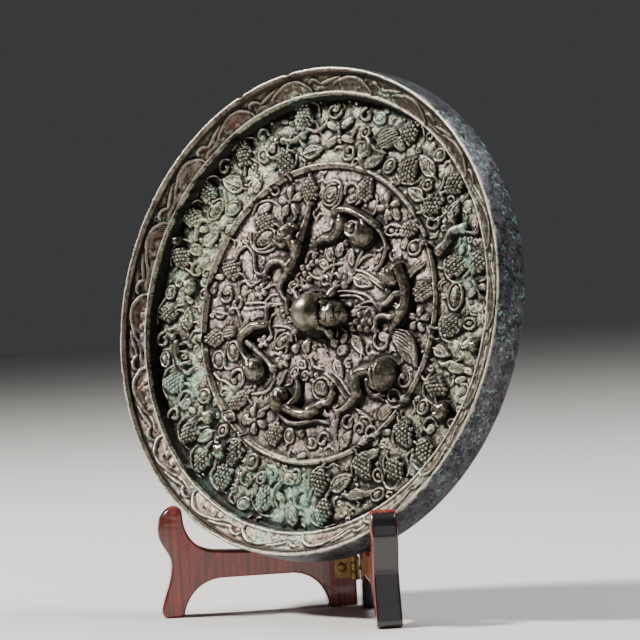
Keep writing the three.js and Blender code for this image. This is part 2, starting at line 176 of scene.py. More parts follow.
class Relief:
    """What stands above the fields' floors, as one square map of heights."""

    def __init__(self):
        self.height = np.zeros((CELLS, CELLS))

    def window(self, low_x, low_y, high_x, high_y):
        span = [np.clip(np.searchsorted(AXIS, v), 0, CELLS) for v in (low_x, high_x, low_y, high_y)]
        where = (slice(span[2], span[3]), slice(span[0], span[1]))
        return where, AXIS[where[1]][None, :], AXIS[where[0]][:, None]

    def lay(self, where, shape, soft=0.0):
        """Raises the map to the shape, with a fillet of about the soft height where they meet."""
        here = self.height[where]
        top = np.maximum(here, shape)
        if soft:
            k = np.minimum(soft, np.minimum(here, shape)) + 1e-6
            top = top + np.maximum(k - np.abs(here - shape), 0) ** 2 / (4 * k)
        self.height[where] = top

    def mound(self, x, y, length, width, height, turn=0, crown=0.5, taper=0, soft=0.0, base=0.0):
        """A dome, long in the direction of turn; taper narrows the end that it points to."""
        reach = max(length, width) * 0.62
        where, gx, gy = self.window(x - reach, y - reach, x + reach, y + reach)
        c, s = math.cos(math.radians(turn)), math.sin(math.radians(turn))
        u = ((gx - x) * c + (gy - y) * s) / (length / 2)
        v = ((gy - y) * c - (gx - x) * s) / (width / 2) / (1 - taper * np.clip(u, -1, 1))
        inside = np.clip(1 - u * u - v * v, 0, 1)
        shape = np.where(inside > 0, base + height * inside ** crown, 0)
        self.lay(where, shape, soft)

    def trace(self, points, width, crown, ends, closed):
        """The window and unit height of a bar along a curve; width is one value or one for each point."""
        path, at = smooth_path(points, closed)
        t = np.linspace(0, 1, len(path))
        if np.ndim(width):
            half = np.interp(at, range(len(width)), width) / 2
        else:
            swell = 1.0 if closed else ends + (1 - ends) * np.sqrt(np.sin(np.pi * np.clip(t, 0.02, 0.98)))
            half = np.full(len(path), width / 2) * swell
        widest = 2 * half.max()
        low, high = path.min(0) - widest, path.max(0) + widest
        where, gx, gy = self.window(low[0], low[1], high[0], high[1])
        shape = np.zeros((gy.shape[0], gx.shape[1]))
        x0, y0 = gx[0, 0], gy[0, 0]
        for (ax, ay), (bx, by), ra, rb in zip(path[:-1], path[1:], half[:-1], half[1:]):
            r = max(ra, rb) + CELL
            i0, i1 = int((min(ax, bx) - r - x0) / CELL), int((max(ax, bx) + r - x0) / CELL) + 2
            j0, j1 = int((min(ay, by) - r - y0) / CELL), int((max(ay, by) + r - y0) / CELL) + 2
            i0, j0 = max(i0, 0), max(j0, 0)
            px, py = gx[:, i0:i1], gy[j0:j1]
            dx, dy = bx - ax, by - ay
            f = np.clip(((px - ax) * dx + (py - ay) * dy) / (dx * dx + dy * dy + 1e-9), 0, 1)
            here = ra + (rb - ra) * f
            gap = ((px - ax - f * dx) ** 2 + (py - ay - f * dy) ** 2) / here ** 2
            part = shape[j0:j1, i0:i1]
            np.maximum(part, np.clip(1 - gap, 0, 1) ** crown * (0.4 + 1.2 * here / widest), out=part)
        return where, shape

    def stroke(self, points, width, height, crown=0.5, ends=0.45, closed=False, soft=0.0):
        where, shape = self.trace(points, width, crown, ends, closed)
        self.lay(where, shape * height, soft)

    def groove(self, points, width, depth, ends=0.4, closed=False):
        """Cuts into what is raised, never into the floor."""
        where, shape = self.trace(points, width, 1.0, ends, closed)
        here = self.height[where]
        self.height[where] = np.maximum(here - shape * depth, np.minimum(here, 0.2))


relief = Relief()


# ---- single motifs ----
def local(x, y, turn, scale=1.0):
    """A function from a motif's own coordinates to the mirror's."""
    c, s = math.cos(math.radians(turn)) * scale, math.sin(math.radians(turn)) * scale
    return lambda u, v: (x + u * c - v * s, y + u * s + v * c)


def each(draw, *rows):
    """Calls a motif's function once for each row of arguments."""
    for row in rows:
        draw(*row)


def vine(points, width=0.85, height=1.1):
    relief.stroke(points, width, height, ends=0.6)


def vines(width, height, *lines):
    for points in lines:
        vine(points, width, height)


def bud(x, y, size, height=1.5):
    relief.mound(x, y, size, size, height)


def raised_line(points, width, amount, closed=False):
    """A fine line that stands on whatever it crosses."""
    where, shape = relief.trace(points, width, 0.5, 0.6, closed)
    relief.height[where] += np.where(relief.height[where] > 0.3, shape * amount, 0)


def ring(x, y, length, width, turn=0.0, low=0.0, high=360.0, steps=10):
    place = local(x, y, turn)
    angles = np.radians(np.linspace(low, high, steps + 1))
    if high - low == 360:
        angles = angles[:-1]
    return [place(length / 2 * math.cos(a), width / 2 * math.sin(a)) for a in angles]


def bunch(x, y, length=10.0, width=8.0, turn=0.0, berry=1.5, height=1.3):
    """Grapes: berries in rows over a swelling that narrows to its tip; turn points to the tip."""
    place = local(x, y, turn)
    relief.mound(x, y, length, width, height, turn, 0.45, 0.22)
    rows = int(length / berry / 0.87) + 2
    for i in range(-rows, rows + 1):
        for j in range(-7, 8):
            u = i * berry * 0.87
            v = (j + 0.5 * (i % 2)) * berry
            edge = math.sqrt(max(1 - (2 * u / length) ** 2, 0)) * (1 - 0.44 * u / length)
            if abs(v) > edge * (width / 2) - berry * 0.1 or abs(u) > length / 2 - berry * 0.15:
                continue
            inside = max(1 - (2 * u / length) ** 2 - (2 * v / width) ** 2, 0)
            px, py = place(u + random.uniform(-0.08, 0.08), v + random.uniform(-0.08, 0.08))
            relief.mound(px, py, berry * 1.02, berry * 1.02, berry * 0.8, 0, 0.75,
                         base=max(height * inside ** 0.45 - 0.35, 0.25))
    stalk = -length / 2
    vine([place(stalk - 2.8, 0.9), place(stalk - 1.2, 0.1), place(stalk + 0.6, 0)], 0.85, 1.2)


def plain_leaf(x, y, length, width, turn=0.0, height=1.3, border=True):
    """A swelling leaf or fruit inside a thin raised outline."""
    relief.mound(x, y, length * 0.8, width * 0.76, height, turn, 0.5, 0.15)
    if border:
        relief.stroke(ring(x, y, length * 0.97, width * 0.97, turn), 0.6, height * 0.85, closed=True)


def veined_leaf(x, y, length, width, turn=0.0, height=1.3, pairs=4):
    """A pointed leaf drawn in thin ridges: outline, midrib and slanting veins over a low swelling."""
    place = local(x, y, turn)
    relief.mound(x, y, length * 0.96, width * 0.92, height * 0.6, turn, 0.35, 0.3)
    for side in (-1, 1):
        relief.stroke([place(-length * 0.5, 0), place(-length * 0.2, side * width * 0.46),
                       place(length * 0.2, side * width * 0.36), place(length * 0.54, 0)], 0.6, height)
        for k in range(pairs):
            u = length * (-0.34 + 0.62 * k / pairs)
            relief.stroke([place(u, 0), place(u + length * 0.1, side * width * 0.2),
                           place(u + length * 0.16, side * width * 0.36)], 0.45, height * 0.9)
    relief.stroke([place(-length * 0.62, 0), place(0, width * 0.03), place(length * 0.5, 0)], 0.65, height)


def striped(x, y, length, width, turn=0.0, count=5, height=1.5, bend=0.0):
    """A lump ribbed along its length, as folded wings, tails and husks are."""
    place = local(x, y, turn)
    relief.mound(x, y, length, width, height * 0.75, turn, 0.4, 0.15)
    for k in range(count):
        f = (k + 0.5) / count - 0.5
        reach = length * 0.47 * math.sqrt(1 - (1.7 * f) ** 2)
        relief.stroke([place(-reach, f * width * 0.75), place(0, f * width + bend),
                       place(reach, f * width * 0.8)], width / count * 0.72, height)


def lobed_leaf(x, y, size, turn=0.0, lobes=5, height=1.35):
    """A vine leaf: round lobes about a middle, with a vein to each."""
    place = local(x, y, turn)
    relief.mound(x, y, size * 0.6, size * 0.6, height * 0.7, turn, 0.35)
    for k in range(lobes):
        a = math.radians(-130 + 260 * k / (lobes - 1))
        px, py = place(size * 0.32 * math.cos(a), size * 0.32 * math.sin(a))
        relief.mound(px, py, size * 0.42, size * 0.34, height, turn + math.degrees(a), 0.45)
        relief.groove([place(0, 0), place(size * 0.24 * math.cos(a), size * 0.24 * math.sin(a)),
                       place(size * 0.46 * math.cos(a), size * 0.46 * math.sin(a))], 0.45, 0.6)
    vine([place(-size * 0.2, 0), place(-size * 0.6, 0.3), place(-size * 0.9, -0.3)], 0.75, 1.0)


def ring_leaf(x, y, length, width, turn=0.0, line=0.65, height=1.15, dot=True):
    """A loop of tendril, open at one end, with a bud in it."""
    relief.stroke(ring(x, y, length - line, width - line, turn, 20, 350, 9), line, height, ends=0.7)
    if dot:
        relief.mound(x, y, length * 0.4, width * 0.4, height * 0.9, turn)


def curl(x, y, size, turn=0.0, sense=1, line=0.7, height=1.1, leaf=False):
    """An open tendril like a C whose inner end carries a bud or a small leaf."""
    path = [(x + size / 2 * (1.15 - t / 9) * math.cos(math.radians(turn) + sense * t),
             y + size / 2 * (1.15 - t / 9) * math.sin(math.radians(turn) + sense * t))
            for t in np.linspace(0, 5.2, 11)]
    relief.stroke(path, line, height, ends=0.7)
    end = path[-1]
    if leaf:
        plain_leaf(end[0] * 0.75 + x * 0.25, end[1] * 0.75 + y * 0.25, size * 0.6, size * 0.4, turn + 40, 1.1)
    else:
        bud(end[0] * 0.8 + x * 0.2, end[1] * 0.8 + y * 0.2, max(size * 0.3, 1.1), height * 1.15)


def flower(x, y, radius, petals=5, turn=0.0, stems=()):
    """Separate long petals, each split by a line, about a button; a stem is the points it runs through."""
    for k in range(petals):
        a = turn + 360 * k / petals
        dx, dy = polar(a, 1)
        px, py = x + radius * 0.6 * dx, y + radius * 0.6 * dy
        relief.mound(px, py, radius * 0.88, radius * 0.56, 1.45, a, 0.45, -0.25)
        relief.groove([(px - dx * radius * 0.2, py - dy * radius * 0.2),
                       (px + dx * radius * 0.34, py + dy * radius * 0.34)], 0.45, 0.5)
    relief.mound(x, y, radius * 0.36, radius * 0.36, 1.7)
    for stem in stems:
        vine(stem)


def berries(x, y, size=1.9, count=3, spread=1.6, turn=0.0, height=1.4):
    """A few round buds side by side."""
    for k in range(count):
        px, py = polar(turn + 360 * k / count, spread)
        relief.mound(x + px, y + py, size, size, height)


def boss(x, y, size, height=3.6):
    """A knobbly lump: the head of a small beast that looks out of the vines."""
    relief.mound(x, y, size, size, height, crown=0.55)
    for a, r, s in ((40, 0.3, 0.36), (140, 0.3, 0.36), (90, 0.1, 0.4), (265, 0.28, 0.44), (215, 0.36, 0.26),
                    (325, 0.36, 0.26)):
        px, py = polar(a, size * r)
        relief.mound(x + px, y + py, size * s, size * s, 0.9, base=height * 0.72, soft=0.3)


def bird(x, y, turn, flip=1, size=1.0):
    """A bird that flies along turn, with its striped wings spread and its tail fanned."""
    place = local(x, y, turn, size)
    relief.stroke([place(-3, -0.4 * flip), place(-0.4, 0), place(2.6, 0.7 * flip), place(4.6, 1.8 * flip)],
                  np.array([1.0, 2.6, 2.3, 1.4]) * size, 2.0)
    relief.mound(*place(4.9, 1.9 * flip), 1.9 * size, 1.8 * size, 2.1, turn)
    vine([place(5.2, 2.0 * flip), place(6.8, 1.7 * flip)], 0.6 * size, 1.5)
    for side, length in ((flip, 6.0), (-flip, 5.2)):
        striped(*place(-0.9, side * length * 0.52), length * size, 3.2 * size, turn + side * 115, 4, 1.55)
    for k in (-1, 0, 1):
        relief.stroke([place(-2.6, -0.4 * flip), place(-5.8, -0.4 * flip + 1.25 * k)], 0.8 * size, 1.3)


def long_bird(x, y, turn, flip=1):
    """A bird with folded wings and a long striped tail."""
    place = local(x, y, turn)
    striped(*place(-0.6, 0), 8.6, 3.8, turn, 5, 1.8, 0.3 * flip)
    relief.stroke([place(2.2, 0), place(3.6, 0.6 * flip), place(4.8, 1.0 * flip)], [2.4, 1.6, 1.7], 2.0)
    vine([place(4.8, 1.0 * flip), place(6.6, 0.5 * flip)], 0.6, 1.5)
    striped(*place(-6.0, -0.4 * flip), 5, 2.2, turn, 3, 1.3)
    for k in (-1, 1):
        vine([place(0, 1.6 * k), place(-1.4, 3.0 * k), place(-0.4, 3.8 * k)], 0.6, 1.0)


def moth(x, y, turn, size=1.0):
    """A dragonfly: a ringed body between two pairs of long wings."""
    place = local(x, y, turn, size)
    for side in (-1, 1):
        for u, lean in ((1.4, 62), (-1.2, 112)):
            dx, dy = polar(lean, 3.6)
            striped(*place(u + dx, side * dy), 6.4 * size, 2.7 * size, turn + side * lean, 3, 1.5)
    for k in range(5):
        relief.mound(*place(3.2 - 1.5 * k, 0), 1.9 * size, 1.8 * size, 1.9 - 0.15 * k, turn)


def small_beast(points, head, tail=None, legs=(), width=3.0, height=2.1):
    """A running fox or lion cub of the outer field."""
    relief.stroke(points, [width] + [width * 0.72] * (len(points) - 2) + [width * 0.95], height, soft=0.3)
    relief.mound(*head, 3.0, 2.6, height * 1.15, crown=0.5, soft=0.3)
    for side in (-0.8, 0.8):
        relief.mound(head[0] + side, head[1] + 1.1, 0.9, 0.9, 0.9, base=height * 0.75)
    for leg in legs:
        relief.stroke(leg, 1.2, height * 0.75, soft=0.2)
        bud(*leg[-1], 1.5, height * 0.75)
    if tail:
        relief.stroke(tail, 1.1, height * 0.7)


# ---- the great beasts of the inner field ----
def limb(points, widths, height=2.6, claws=0.0):
    """A leg with its muscles; claws is the spread of its toes, or none."""
    relief.stroke(points, widths, height, soft=0.4)
    if claws:
        (ax, ay), (bx, by) = points[-2], points[-1]
        turn = math.degrees(math.atan2(by - ay, bx - ax))
        for k in (-1, 0, 1):
            px, py = polar(turn + claws * k, 1.9)
            relief.stroke([(bx, by), (bx + px, by + py)], [1.3, 0.95], height * 0.85)


def haunch(x, y, length, width, turn, height):
    relief.mound(x, y, length, width, height, turn, 0.6, soft=0.5)


def eye(x, y, size, turn=0.0):
    """A round eye in rings, a pupil in the middle."""
    raised_line(ring(x, y, size, size * 0.86, turn), 0.65, 0.8, True)
    relief.groove(ring(x, y, size * 0.66, size * 0.56, turn), 0.16 * size, 0.7, closed=True)
    bud(x, y, size * 0.3, relief_at(x, y) + 0.35)


def relief_at(x, y):
    return relief.height[int(round((y + EXTENT) / CELL)), int(round((x + EXTENT) / CELL))]


def brows(*lines):
    for line in lines:
        raised_line(line, 0.7, 0.6)


def inner_beasts():
    # upper left: it looks out over the vines, one arm stretched up to the grapes
    limb([(-9.6, 26), (-8.2, 29.6), (-7.0, 33.5), (-6.0, 38)], [4.2, 3.0, 2.2, 2.2], 3.0, 42)
    relief.stroke([(-12.6, 27), (-10.8, 23.4), (-11.4, 19.6), (-13.4, 16.4)],
                  [6.4, 5.6, 3.2, 4.8], 4.2, soft=0.6)
    haunch(-9.8, 24.4, 5, 4, 110, 4.5)
    limb([(-14, 16.5), (-17.6, 18.6), (-21.4, 18.8), (-23.6, 17.4), (-24.2, 15.2)],
         [3.8, 2.3, 2.2, 2.4, 1.8], 2.6, 50)
    relief.stroke([(-13.6, 15.6), (-17.0, 11), (-15.6, 6.4), (-13.4, 4.4), (-13.3, 0.6)],
                  [2.8, 1.9, 1.5, 1.8, 1.6], 2.3, soft=0.3)
    limb([(-15.2, 25.4), (-18, 24.4), (-20.4, 25.8)], [2.4, 1.8, 1.6], 2.4, 50)
    relief.mound(-14.4, 28.6, 9.4, 7.6, 4.9, 20, 0.5, soft=0.5)
    relief.mound(-17.4, 27.2, 4.2, 4.0, 4.2, 20, 0.5, soft=0.4)
    brows([(-18.4, 30), (-16, 32), (-12.6, 31.8), (-10.2, 29.8)], [(-18, 28.6), (-15.6, 30.2), (-12.4, 30)],
          [(-14.6, 26.6), (-12.4, 26.4), (-10.6, 27.6)])
    eye(-15.4, 28.6, 2.4)
    relief.groove([(-19, 26.6), (-17.4, 25.8), (-15.8, 25.8)], 0.5, 0.9)
    bud(-10.2, 30.6, 2.2, 4.2)
    # upper middle: it lies along the ridge with its back arched, its head hanging inwards
    relief.stroke([(5.6, 34.6), (9, 35.6), (13.4, 35.2), (18, 33.2), (22, 31), (25, 29.4)],
                  [2.6, 3.4, 3.2, 3.2, 3.6, 2.6], 3.6, soft=0.5)
    limb([(8.4, 34.4), (9.2, 31), (7.2, 28), (4.6, 26), (1.6, 26.2), (-1.6, 24.6)],
         [3.4, 4.4, 3.6, 2.6, 2.6, 1.8], 3.2, 45)
    haunch(9.6, 31.4, 5.4, 4.4, 75, 4.0)
    relief.mound(19.0, 27.0, 10.6, 10.0, 5.2, 10, 0.5, soft=0.4)
    relief.mound(16.4, 28.2, 7.8, 7.4, 5.7, 0, 0.4)
    eye(16.4, 28.2, 6.4)
    brows([(10.2, 31.2), (13.8, 32.6), (18, 32), (22, 29.4)], [(11.4, 25.2), (14.4, 24), (17.4, 23.2)])
    relief.stroke([(24.4, 29.6), (27.6, 26), (29.8, 21.8)], [2.6, 1.7, 1.5], 2.4, soft=0.3)
    bud(29.8, 21.6, 2.2, 2.2)
    relief.stroke([(29.4, 20.8), (28.4, 18), (27, 15.6), (25.4, 14.4)], [1.4, 1.0, 0.9, 1.2], 1.6)
    plain_leaf(26.0, 17.8, 3.4, 1.8, 60, 1.2)
    # right: its back to the ridge
    relief.stroke([(35.6, 14), (38.6, 9.4), (39.8, 4.2), (38.6, -0.8), (36.6, -4.2), (34.2, -7.4)],
                  [4.4, 4.4, 3.6, 3.8, 2.8, 1.6], 3.9, soft=0.5)
    haunch(38.6, -0.6, 5.4, 4.2, 75, 4.3)
    limb([(38, -1.4), (34, -2.6), (30, -2), (27.4, -3), (27.2, -5.8)], [3.2, 2.4, 2.2, 1.8, 1.8], 2.6, 45)
    limb([(38.8, 5.4), (34.8, 5.2), (32, 2.8), (29.4, 1.6)], [3.2, 2.4, 2.0, 1.6], 2.6, 45)
    relief.mound(33, 11.6, 9, 8.2, 4.8, 150, 0.5, soft=0.5)
    relief.mound(30.6, 9.6, 4.2, 4, 4.0, 30, 0.5, soft=0.4)
    eye(30.8, 12.4, 3.4)
    brows([(28.2, 13.6), (31, 15.4), (35, 14.8), (37.2, 12.4)], [(32.2, 9), (34.6, 8.4), (36.6, 9.6)])
    relief.groove([(28.4, 8.8), (30.2, 8), (32, 8.2)], 0.5, 0.9)
    bud(32, 6.4, 2.4, 2.8)
    # lower right: a heavy head that looks outwards
    relief.stroke([(28.6, -21), (24.6, -21), (21.2, -21.8), (20.4, -25.2), (21.2, -28.4)],
                  [5.4, 4.4, 4.2, 4.4, 4.0], 3.9, soft=0.5)
    haunch(20.6, -22.6, 4.8, 4.0, 100, 4.4)
    limb([(20.8, -27.8), (19.2, -31), (16.4, -33.2), (13.8, -34.6)], [4.0, 3.0, 2.2, 1.8], 2.8, 40)
    limb([(25.6, -24.4), (26.6, -27.4), (28.6, -29.4), (31, -29.4)], [3.0, 2.4, 2.0, 1.6], 2.6, 45)
    relief.mound(31.8, -22.4, 12.6, 12.2, 5.8, 10, 0.55, soft=0.5)
    brows([(31.2, -16.8), (31.9, -20), (31.9, -24.4), (31.2, -28)],
          [(26.8, -18.8), (28.4, -17.2), (30.2, -17)], [(26.6, -24.4), (28, -26.6), (30, -27.6)])
    eye(28.2, -21, 2.8)
    relief.groove([(29.9, -17.4), (30.5, -22), (29.9, -26.6)], 0.55, 0.6)
    relief.groove([(26, -22.8), (27.4, -23.8), (29, -24)], 0.5, 0.8)
    # below: it crouches with its tail under it
    relief.stroke([(-12.4, -31.6), (-8.6, -33.6), (-4, -35.2), (0, -35.4), (2.6, -34)],
                  [5.2, 4.4, 3.6, 4.2, 4.4], 3.9, soft=0.5)
    haunch(1.4, -34.4, 5.0, 4.4, 30, 4.3)
    limb([(2, -34), (5.6, -31.8), (8.4, -31.4), (10, -28.6), (9.8, -26.4)],
         [3.6, 2.6, 2.3, 2.0, 1.6], 2.7, 45)
    limb([(-8.4, -32), (-5.8, -29.4), (-5.4, -25.6), (-6.6, -23)], [3.2, 2.4, 2.0, 1.6], 2.6, 45)
    relief.stroke([(-13, -35.2), (-9, -38.2), (-3.6, -38.6), (2.4, -37.6), (8.4, -38.4)],
                  [2.2, 1.8, 1.6, 1.5, 1.2], 2.2, soft=0.3)
    relief.mound(-13.4, -30.4, 9.6, 8.6, 4.9, 100, 0.5, soft=0.5)
    eye(-15.4, -29.6, 3.2)
    brows([(-17.4, -27.6), (-14.6, -26.2), (-11.4, -27), (-9.6, -29.6)],
          [(-17, -32.4), (-14.6, -34), (-12, -33.8)], [(-12.6, -28.6), (-11, -30.6), (-11, -32.8)])
    relief.groove([(-17.6, -31.4), (-16, -31.8), (-14.6, -31.2)], 0.5, 0.8)
    bud(-3, -42.2, 2.8, 1.8)
    # left: a slim one, its round head below it
    relief.stroke([(-24.6, -3.6), (-28.4, -4.2), (-32, -7), (-32.8, -10.6), (-31, -14), (-28.4, -16.4)],
                  [3.0, 3.6, 4.0, 3.4, 3.0, 4.0], 3.7, soft=0.4)
    haunch(-31.8, -6.8, 5.0, 3.8, 50, 4.1)
    limb([(-25.6, -3.8), (-22.8, -3.4), (-22.2, -0.6), (-22.6, 1.8)], [3.0, 2.3, 1.9, 1.6], 2.5, 45)
    limb([(-30.4, -9.4), (-26.4, -12.4), (-22.4, -15.2), (-18.6, -18.4)], [3.2, 2.3, 2.0, 1.8], 2.5, 38)
    relief.mound(-25.9, -19.4, 9.0, 8.6, 4.9, 150, 0.55, soft=0.4)
    eye(-28.0, -18.4, 3.2)
    brows([(-29.4, -21.6), (-27, -23), (-24, -22.6)], [(-27.6, -15.8), (-24.8, -15.6), (-22.4, -17.4)])


def knob():
    """The pierced knob: a crouching beast, its smooth haunch behind its lowered, knobbly head."""
    relief.mound(-0.8, 0, 17, 15.4, 9, 0, 0.5)
    relief.mound(9, -0.8, 10.8, 9.8, 7.2, 0, 0.5, soft=0.7)
    relief.mound(13, -1.6, 4.6, 5.6, 5, 0, 0.5, soft=0.6)
    for x, y, s, h in ((7.2, 2.6, 2.8, 7.9), (7.6, -4.2, 2.8, 7.5), (10.6, 1.8, 2.0, 7.2),
                       (11.0, -3.2, 2.0, 7.0), (9.2, -0.6, 2.0, 8.0), (12.8, 0.3, 1.7, 6.1),
                       (13.2, -2.6, 1.7, 5.9), (14.6, -1.0, 1.6, 4.9), (5.6, 4.6, 2.0, 6.4),
                       (6.0, -6.2, 2.0, 6.2)):
        relief.mound(x, y, s, s, h, soft=0.3)
    relief.groove([(8.4, 3.8), (9.2, 1.2), (9.2, -2.6), (8.6, -4.8)], 0.6, 0.8)
    relief.groove([(11.8, 2.2), (11.9, -0.8), (12.2, -3.8)], 0.5, 0.8)
    for x, y, turn in ((-8, 5.5, 140), (-8, -5.5, 220), (6.5, 6, 60), (7, -7, 300)):
        relief.mound(x, y, 6, 3.6, 2.8, turn, soft=0.6)
        px, py = polar(turn, 3)
        limb([(x, y), (x + px, y + py)], [3.0, 2.2], 2.0, 42)
    relief.groove([(4.3, 5.6), (5.1, 1.5), (4.9, -3), (4.2, -6.4)], 1.0, 1.6)


def inner_vines():
    """Grapes, leaves, flowers and tendrils between the great beasts."""
    for x, y, length, width, turn in (
            (-26.5, 33.4, 8.6, 6, 170), (-6.7, 44.2, 10.5, 6.6, 95), (18.6, 42.8, 9, 7.4, 60),
            (39, 27.6, 8.4, 5.8, 20), (-41, 17, 9, 6.5, 160), (46.4, 5.8, 8.2, 7.0, 0),
            (-46.6, -7.6, 8, 6, 185), (-33.4, -30.4, 9.6, 5.6, 215), (-15.2, -42.2, 8.2, 6.8, 260)):
        bunch(x, y, length, width, turn, 1.4)
    flower(-15.5, 40.2, 5.4, 5, 95, [[(-16.4, 37), (-18.8, 34.6), (-18.5, 32.5)],
                                     [(-14.6, 37.4), (-12.6, 35), (-13.4, 32.8)]])
    flower(29, 36, 4.8, 4, 10, [[(28.5, 35), (28.2, 32), (28.6, 30)]])
    flower(-24.5, -37.2, 5.0, 5, 45, [[(-23, -34.8), (-19, -32.2)], [(-25, -34.5), (-25.6, -31.5)]])
    flower(45.2, -3.8, 4.4, 5, 10, [[(41.8, -1.5), (43.4, -3)]])
    # the oval spiral leaf
    relief.mound(3, 41.6, 6, 5, 1.0, 60, 0.4)
    for size in (7.4, 4.6, 2.2):
        relief.stroke(ring(3 + 0.3 * size / 7.4, 41.6, size * 1.1, size * 0.92, 60, 10, 340), 0.6, 1.7)
    for k in (0, 1.1, 2.2):
        vine([(40 - k * 0.5, 9 + k), (42 - k * 0.4, 12.5 + k * 0.6), (46 - k, 15 + k * 0.5)], 0.6, 1.2)
    lobed_leaf(-26.4, 8.6, 5.8, 210, 5, 1.4)
    lobed_leaf(-24, -9.5, 5.0, 200, 4, 1.3)
    lobed_leaf(-14, -16, 6.4, 250, 5)
    for x, y in ((-5, -18), (-8, -20.6), (-3.4, -22)):
        ring_leaf(x, y, 4.0, 3.2, 40 * x, 0.6, 1.1)
    for x, y, turn in ((-6.4, 15.6, 30), (-2.4, 18.6, 100)):
        berries(x, y, 2.3, 3, 1.5, turn)
    for x, y, turn in ((4.6, 20.2, 100), (8.6, 21.8, 70), (2.2, 17, 150)):
        plain_leaf(x, y, 4.6, 2.8, turn, 1.3)
    # right of the knob: the curly mask of leaves
    relief.mound(22.8, -3, 9, 9.4, 1.5, 20, 0.4)
    for x, y, s in ((20.2, -1.4, 2.2), (23.6, -1, 2.4), (22, -4, 2.0), (25.2, -4.2, 2.2),
                    (20.6, -6, 2.2), (18.6, -3.8, 2.0), (23.8, -6.8, 2.0)):
        relief.mound(x, y, s, s, 1.0, base=1.3)
    # the feathered wing on the right
    relief.mound(40.6, -13, 15, 7.0, 1.2, 310, 0.35)
    for f in np.linspace(0, 1, 6):
        vine([(34.4 + 0.8 * f, -6.4 - 4.4 * f), (38.8 + 2.6 * (1 - f), -8.2 - 5.2 * f),
              (43.4 + 1.6 * (1 - f), -13 - 2.8 * f), (46 - 1.0 * f, -19.8)], 0.7, 1.9)
    for k in (0, 1.5, 3):
        vine([(20 + k, -33.5 - k), (24 + k, -35.4 - k * 0.6), (28, -37.5 - k)], 0.6, 1.1)
    # the coil on the round leaf below the knob
    relief.stroke(ring(4.8, -26.6, 4.8, 4.2, 330, 10, 340), 0.55, 2.0)
    # single stems, leaves and buds: none of them cuts another, so they stand in groups
    vines(0.6, 0.8, [(-33.6, 2.4), (-26, 2.8), (-19, 3.2)], [(-25, 4.4), (-21.4, 7), (-18.6, 7.2)])
    vines(0.6, 0.9, [(-33.4, 4.4), (-28, 4.6), (-22, 4.0), (-17, 3.6)],
          [(17, 12.9), (21, 12), (25, 9.8), (29, 7.2)])
    vines(0.6, 1, [(-18.6, -8.8), (-17.6, -6), (-14, -5.6)], [(10, 5.5), (17, 5.4), (20.6, 3.6)])
    vines(0.6, 2, [(18.4, -0.4), (20.4, 1), (23, 1.4)])
    vines(0.65, 1, [(1.5, 14.5), (6, 16.5), (9.5, 17)], [(19, 21), (17.6, 18.6), (16.5, 16.5), (16, 14)],
          [(22.6, 19.6), (19.6, 18.6), (16.8, 16)], [(8.4, -20.6), (12.4, -23.2), (15, -26), (17.6, -29)])
    vines(0.65, 1.1, [(-19, -4), (-15.8, -4.2), (-12, -5), (-9, -7), (-8.5, -9.4)],
          [(-14.8, -26), (-13.4, -22.6), (-12, -20)], [(-17.4, -20.4), (-17.6, -23.4), (-19.4, -26.6)],
          [(-6.8, 18), (-5.2, 21.5), (-1.6, 21)], [(-4.8, 14.4), (-2.4, 12.6), (0.4, 12)])
    vines(0.65, 1.6, [(20, 2.5), (23.4, 3.2), (26, 2.4), (27.8, 0)])
    vines(0.7, 1, [(-33.2, 36.6), (-31, 40.4), (-25.4, 41.2), (-21.4, 39.4)],
          [(27, 28), (31, 29.6), (35, 28.6)], [(23.4, 40), (24.4, 37), (23, 34), (22, 32)],
          [(-34.6, 13.6), (-31.6, 10.8), (-27.4, 12.6)], [(16, 14.5), (20, 13.5), (24, 11.5), (30, 8)])
    vines(0.7, 1.1, [(-33.4, 30.4), (-32.4, 25.6), (-28.4, 22.8), (-22.6, 23.4), (-19.4, 26.4)],
          [(0, 46), (5, 46.4), (7.8, 43.6), (6.9, 38.4), (3.4, 36.6)],
          [(-37, 8.4), (-36.6, 12), (-33, 12.6)], [(-39, 5.2), (-36.2, 1.2), (-34.8, -2.6)],
          [(-19.5, 0.5), (-20.8, -1), (-21.2, -4), (-20.3, -7), (-22, -9)],
          [(-40.8, -9.6), (-41.4, -13.4), (-40.6, -18.4), (-37.6, -18.6)],
          [(-46, -20.4), (-43, -22.6), (-40, -23.4), (-35.5, -26.5)],
          [(-27.5, -28), (-22, -27.6), (-18.4, -25.6)], [(-28.4, -25.4), (-29, -28.8), (-27.4, -31.4)],
          [(5, 11.2), (6.4, 15), (6.6, 19)], [(12, 9.3), (14, 10.6), (15.4, 13)],
          [(8, 6.9), (12, 7.3), (20, 6), (24, 4), (26, 1.5)], [(33.6, -31), (36.4, -33.4), (40.4, -33.2)],
          [(6, -21.5), (10, -24), (12.5, -26.5), (15.5, -30)], [(-1.4, -15.4), (0.6, -18.8), (4.8, -20)])
    vines(0.75, 1.1, [(-23, 10.2), (-19.5, 10.6), (-18, 8)], [(13, -36), (12.2, -40), (12, -44)])
    vines(0.75, 1.2, [(9, 41.6), (9.6, 44.2), (12, 45.2), (15, 43.5), (15.2, 40.8)])
    vines(1, 1.3,
          [(-24, 15.2), (-28.3, 14.9), (-30.2, 18.4), (-31.2, 22.2), (-34.4, 25.2), (-38.2, 23.4),
           (-39.4, 20)])
    berries(0.6, -22.4, 2.0, 3, 1.4, 20)
    each(bud, (41.5, 21, 3.2, 1.6), (-39.6, 2.2, 2.8, 1.4), (-8.5, -12.3, 3.4, 1.6), (-4.4, 12.2, 2.3),
         (11.2, 24.2, 1.9), (12, 9.3, 3.0, 1.8), (9.4, -11.4, 2.2), (36.8, -19.6, 2.4, 1.5),
         (42.4, -30.6, 3.2, 1.6))
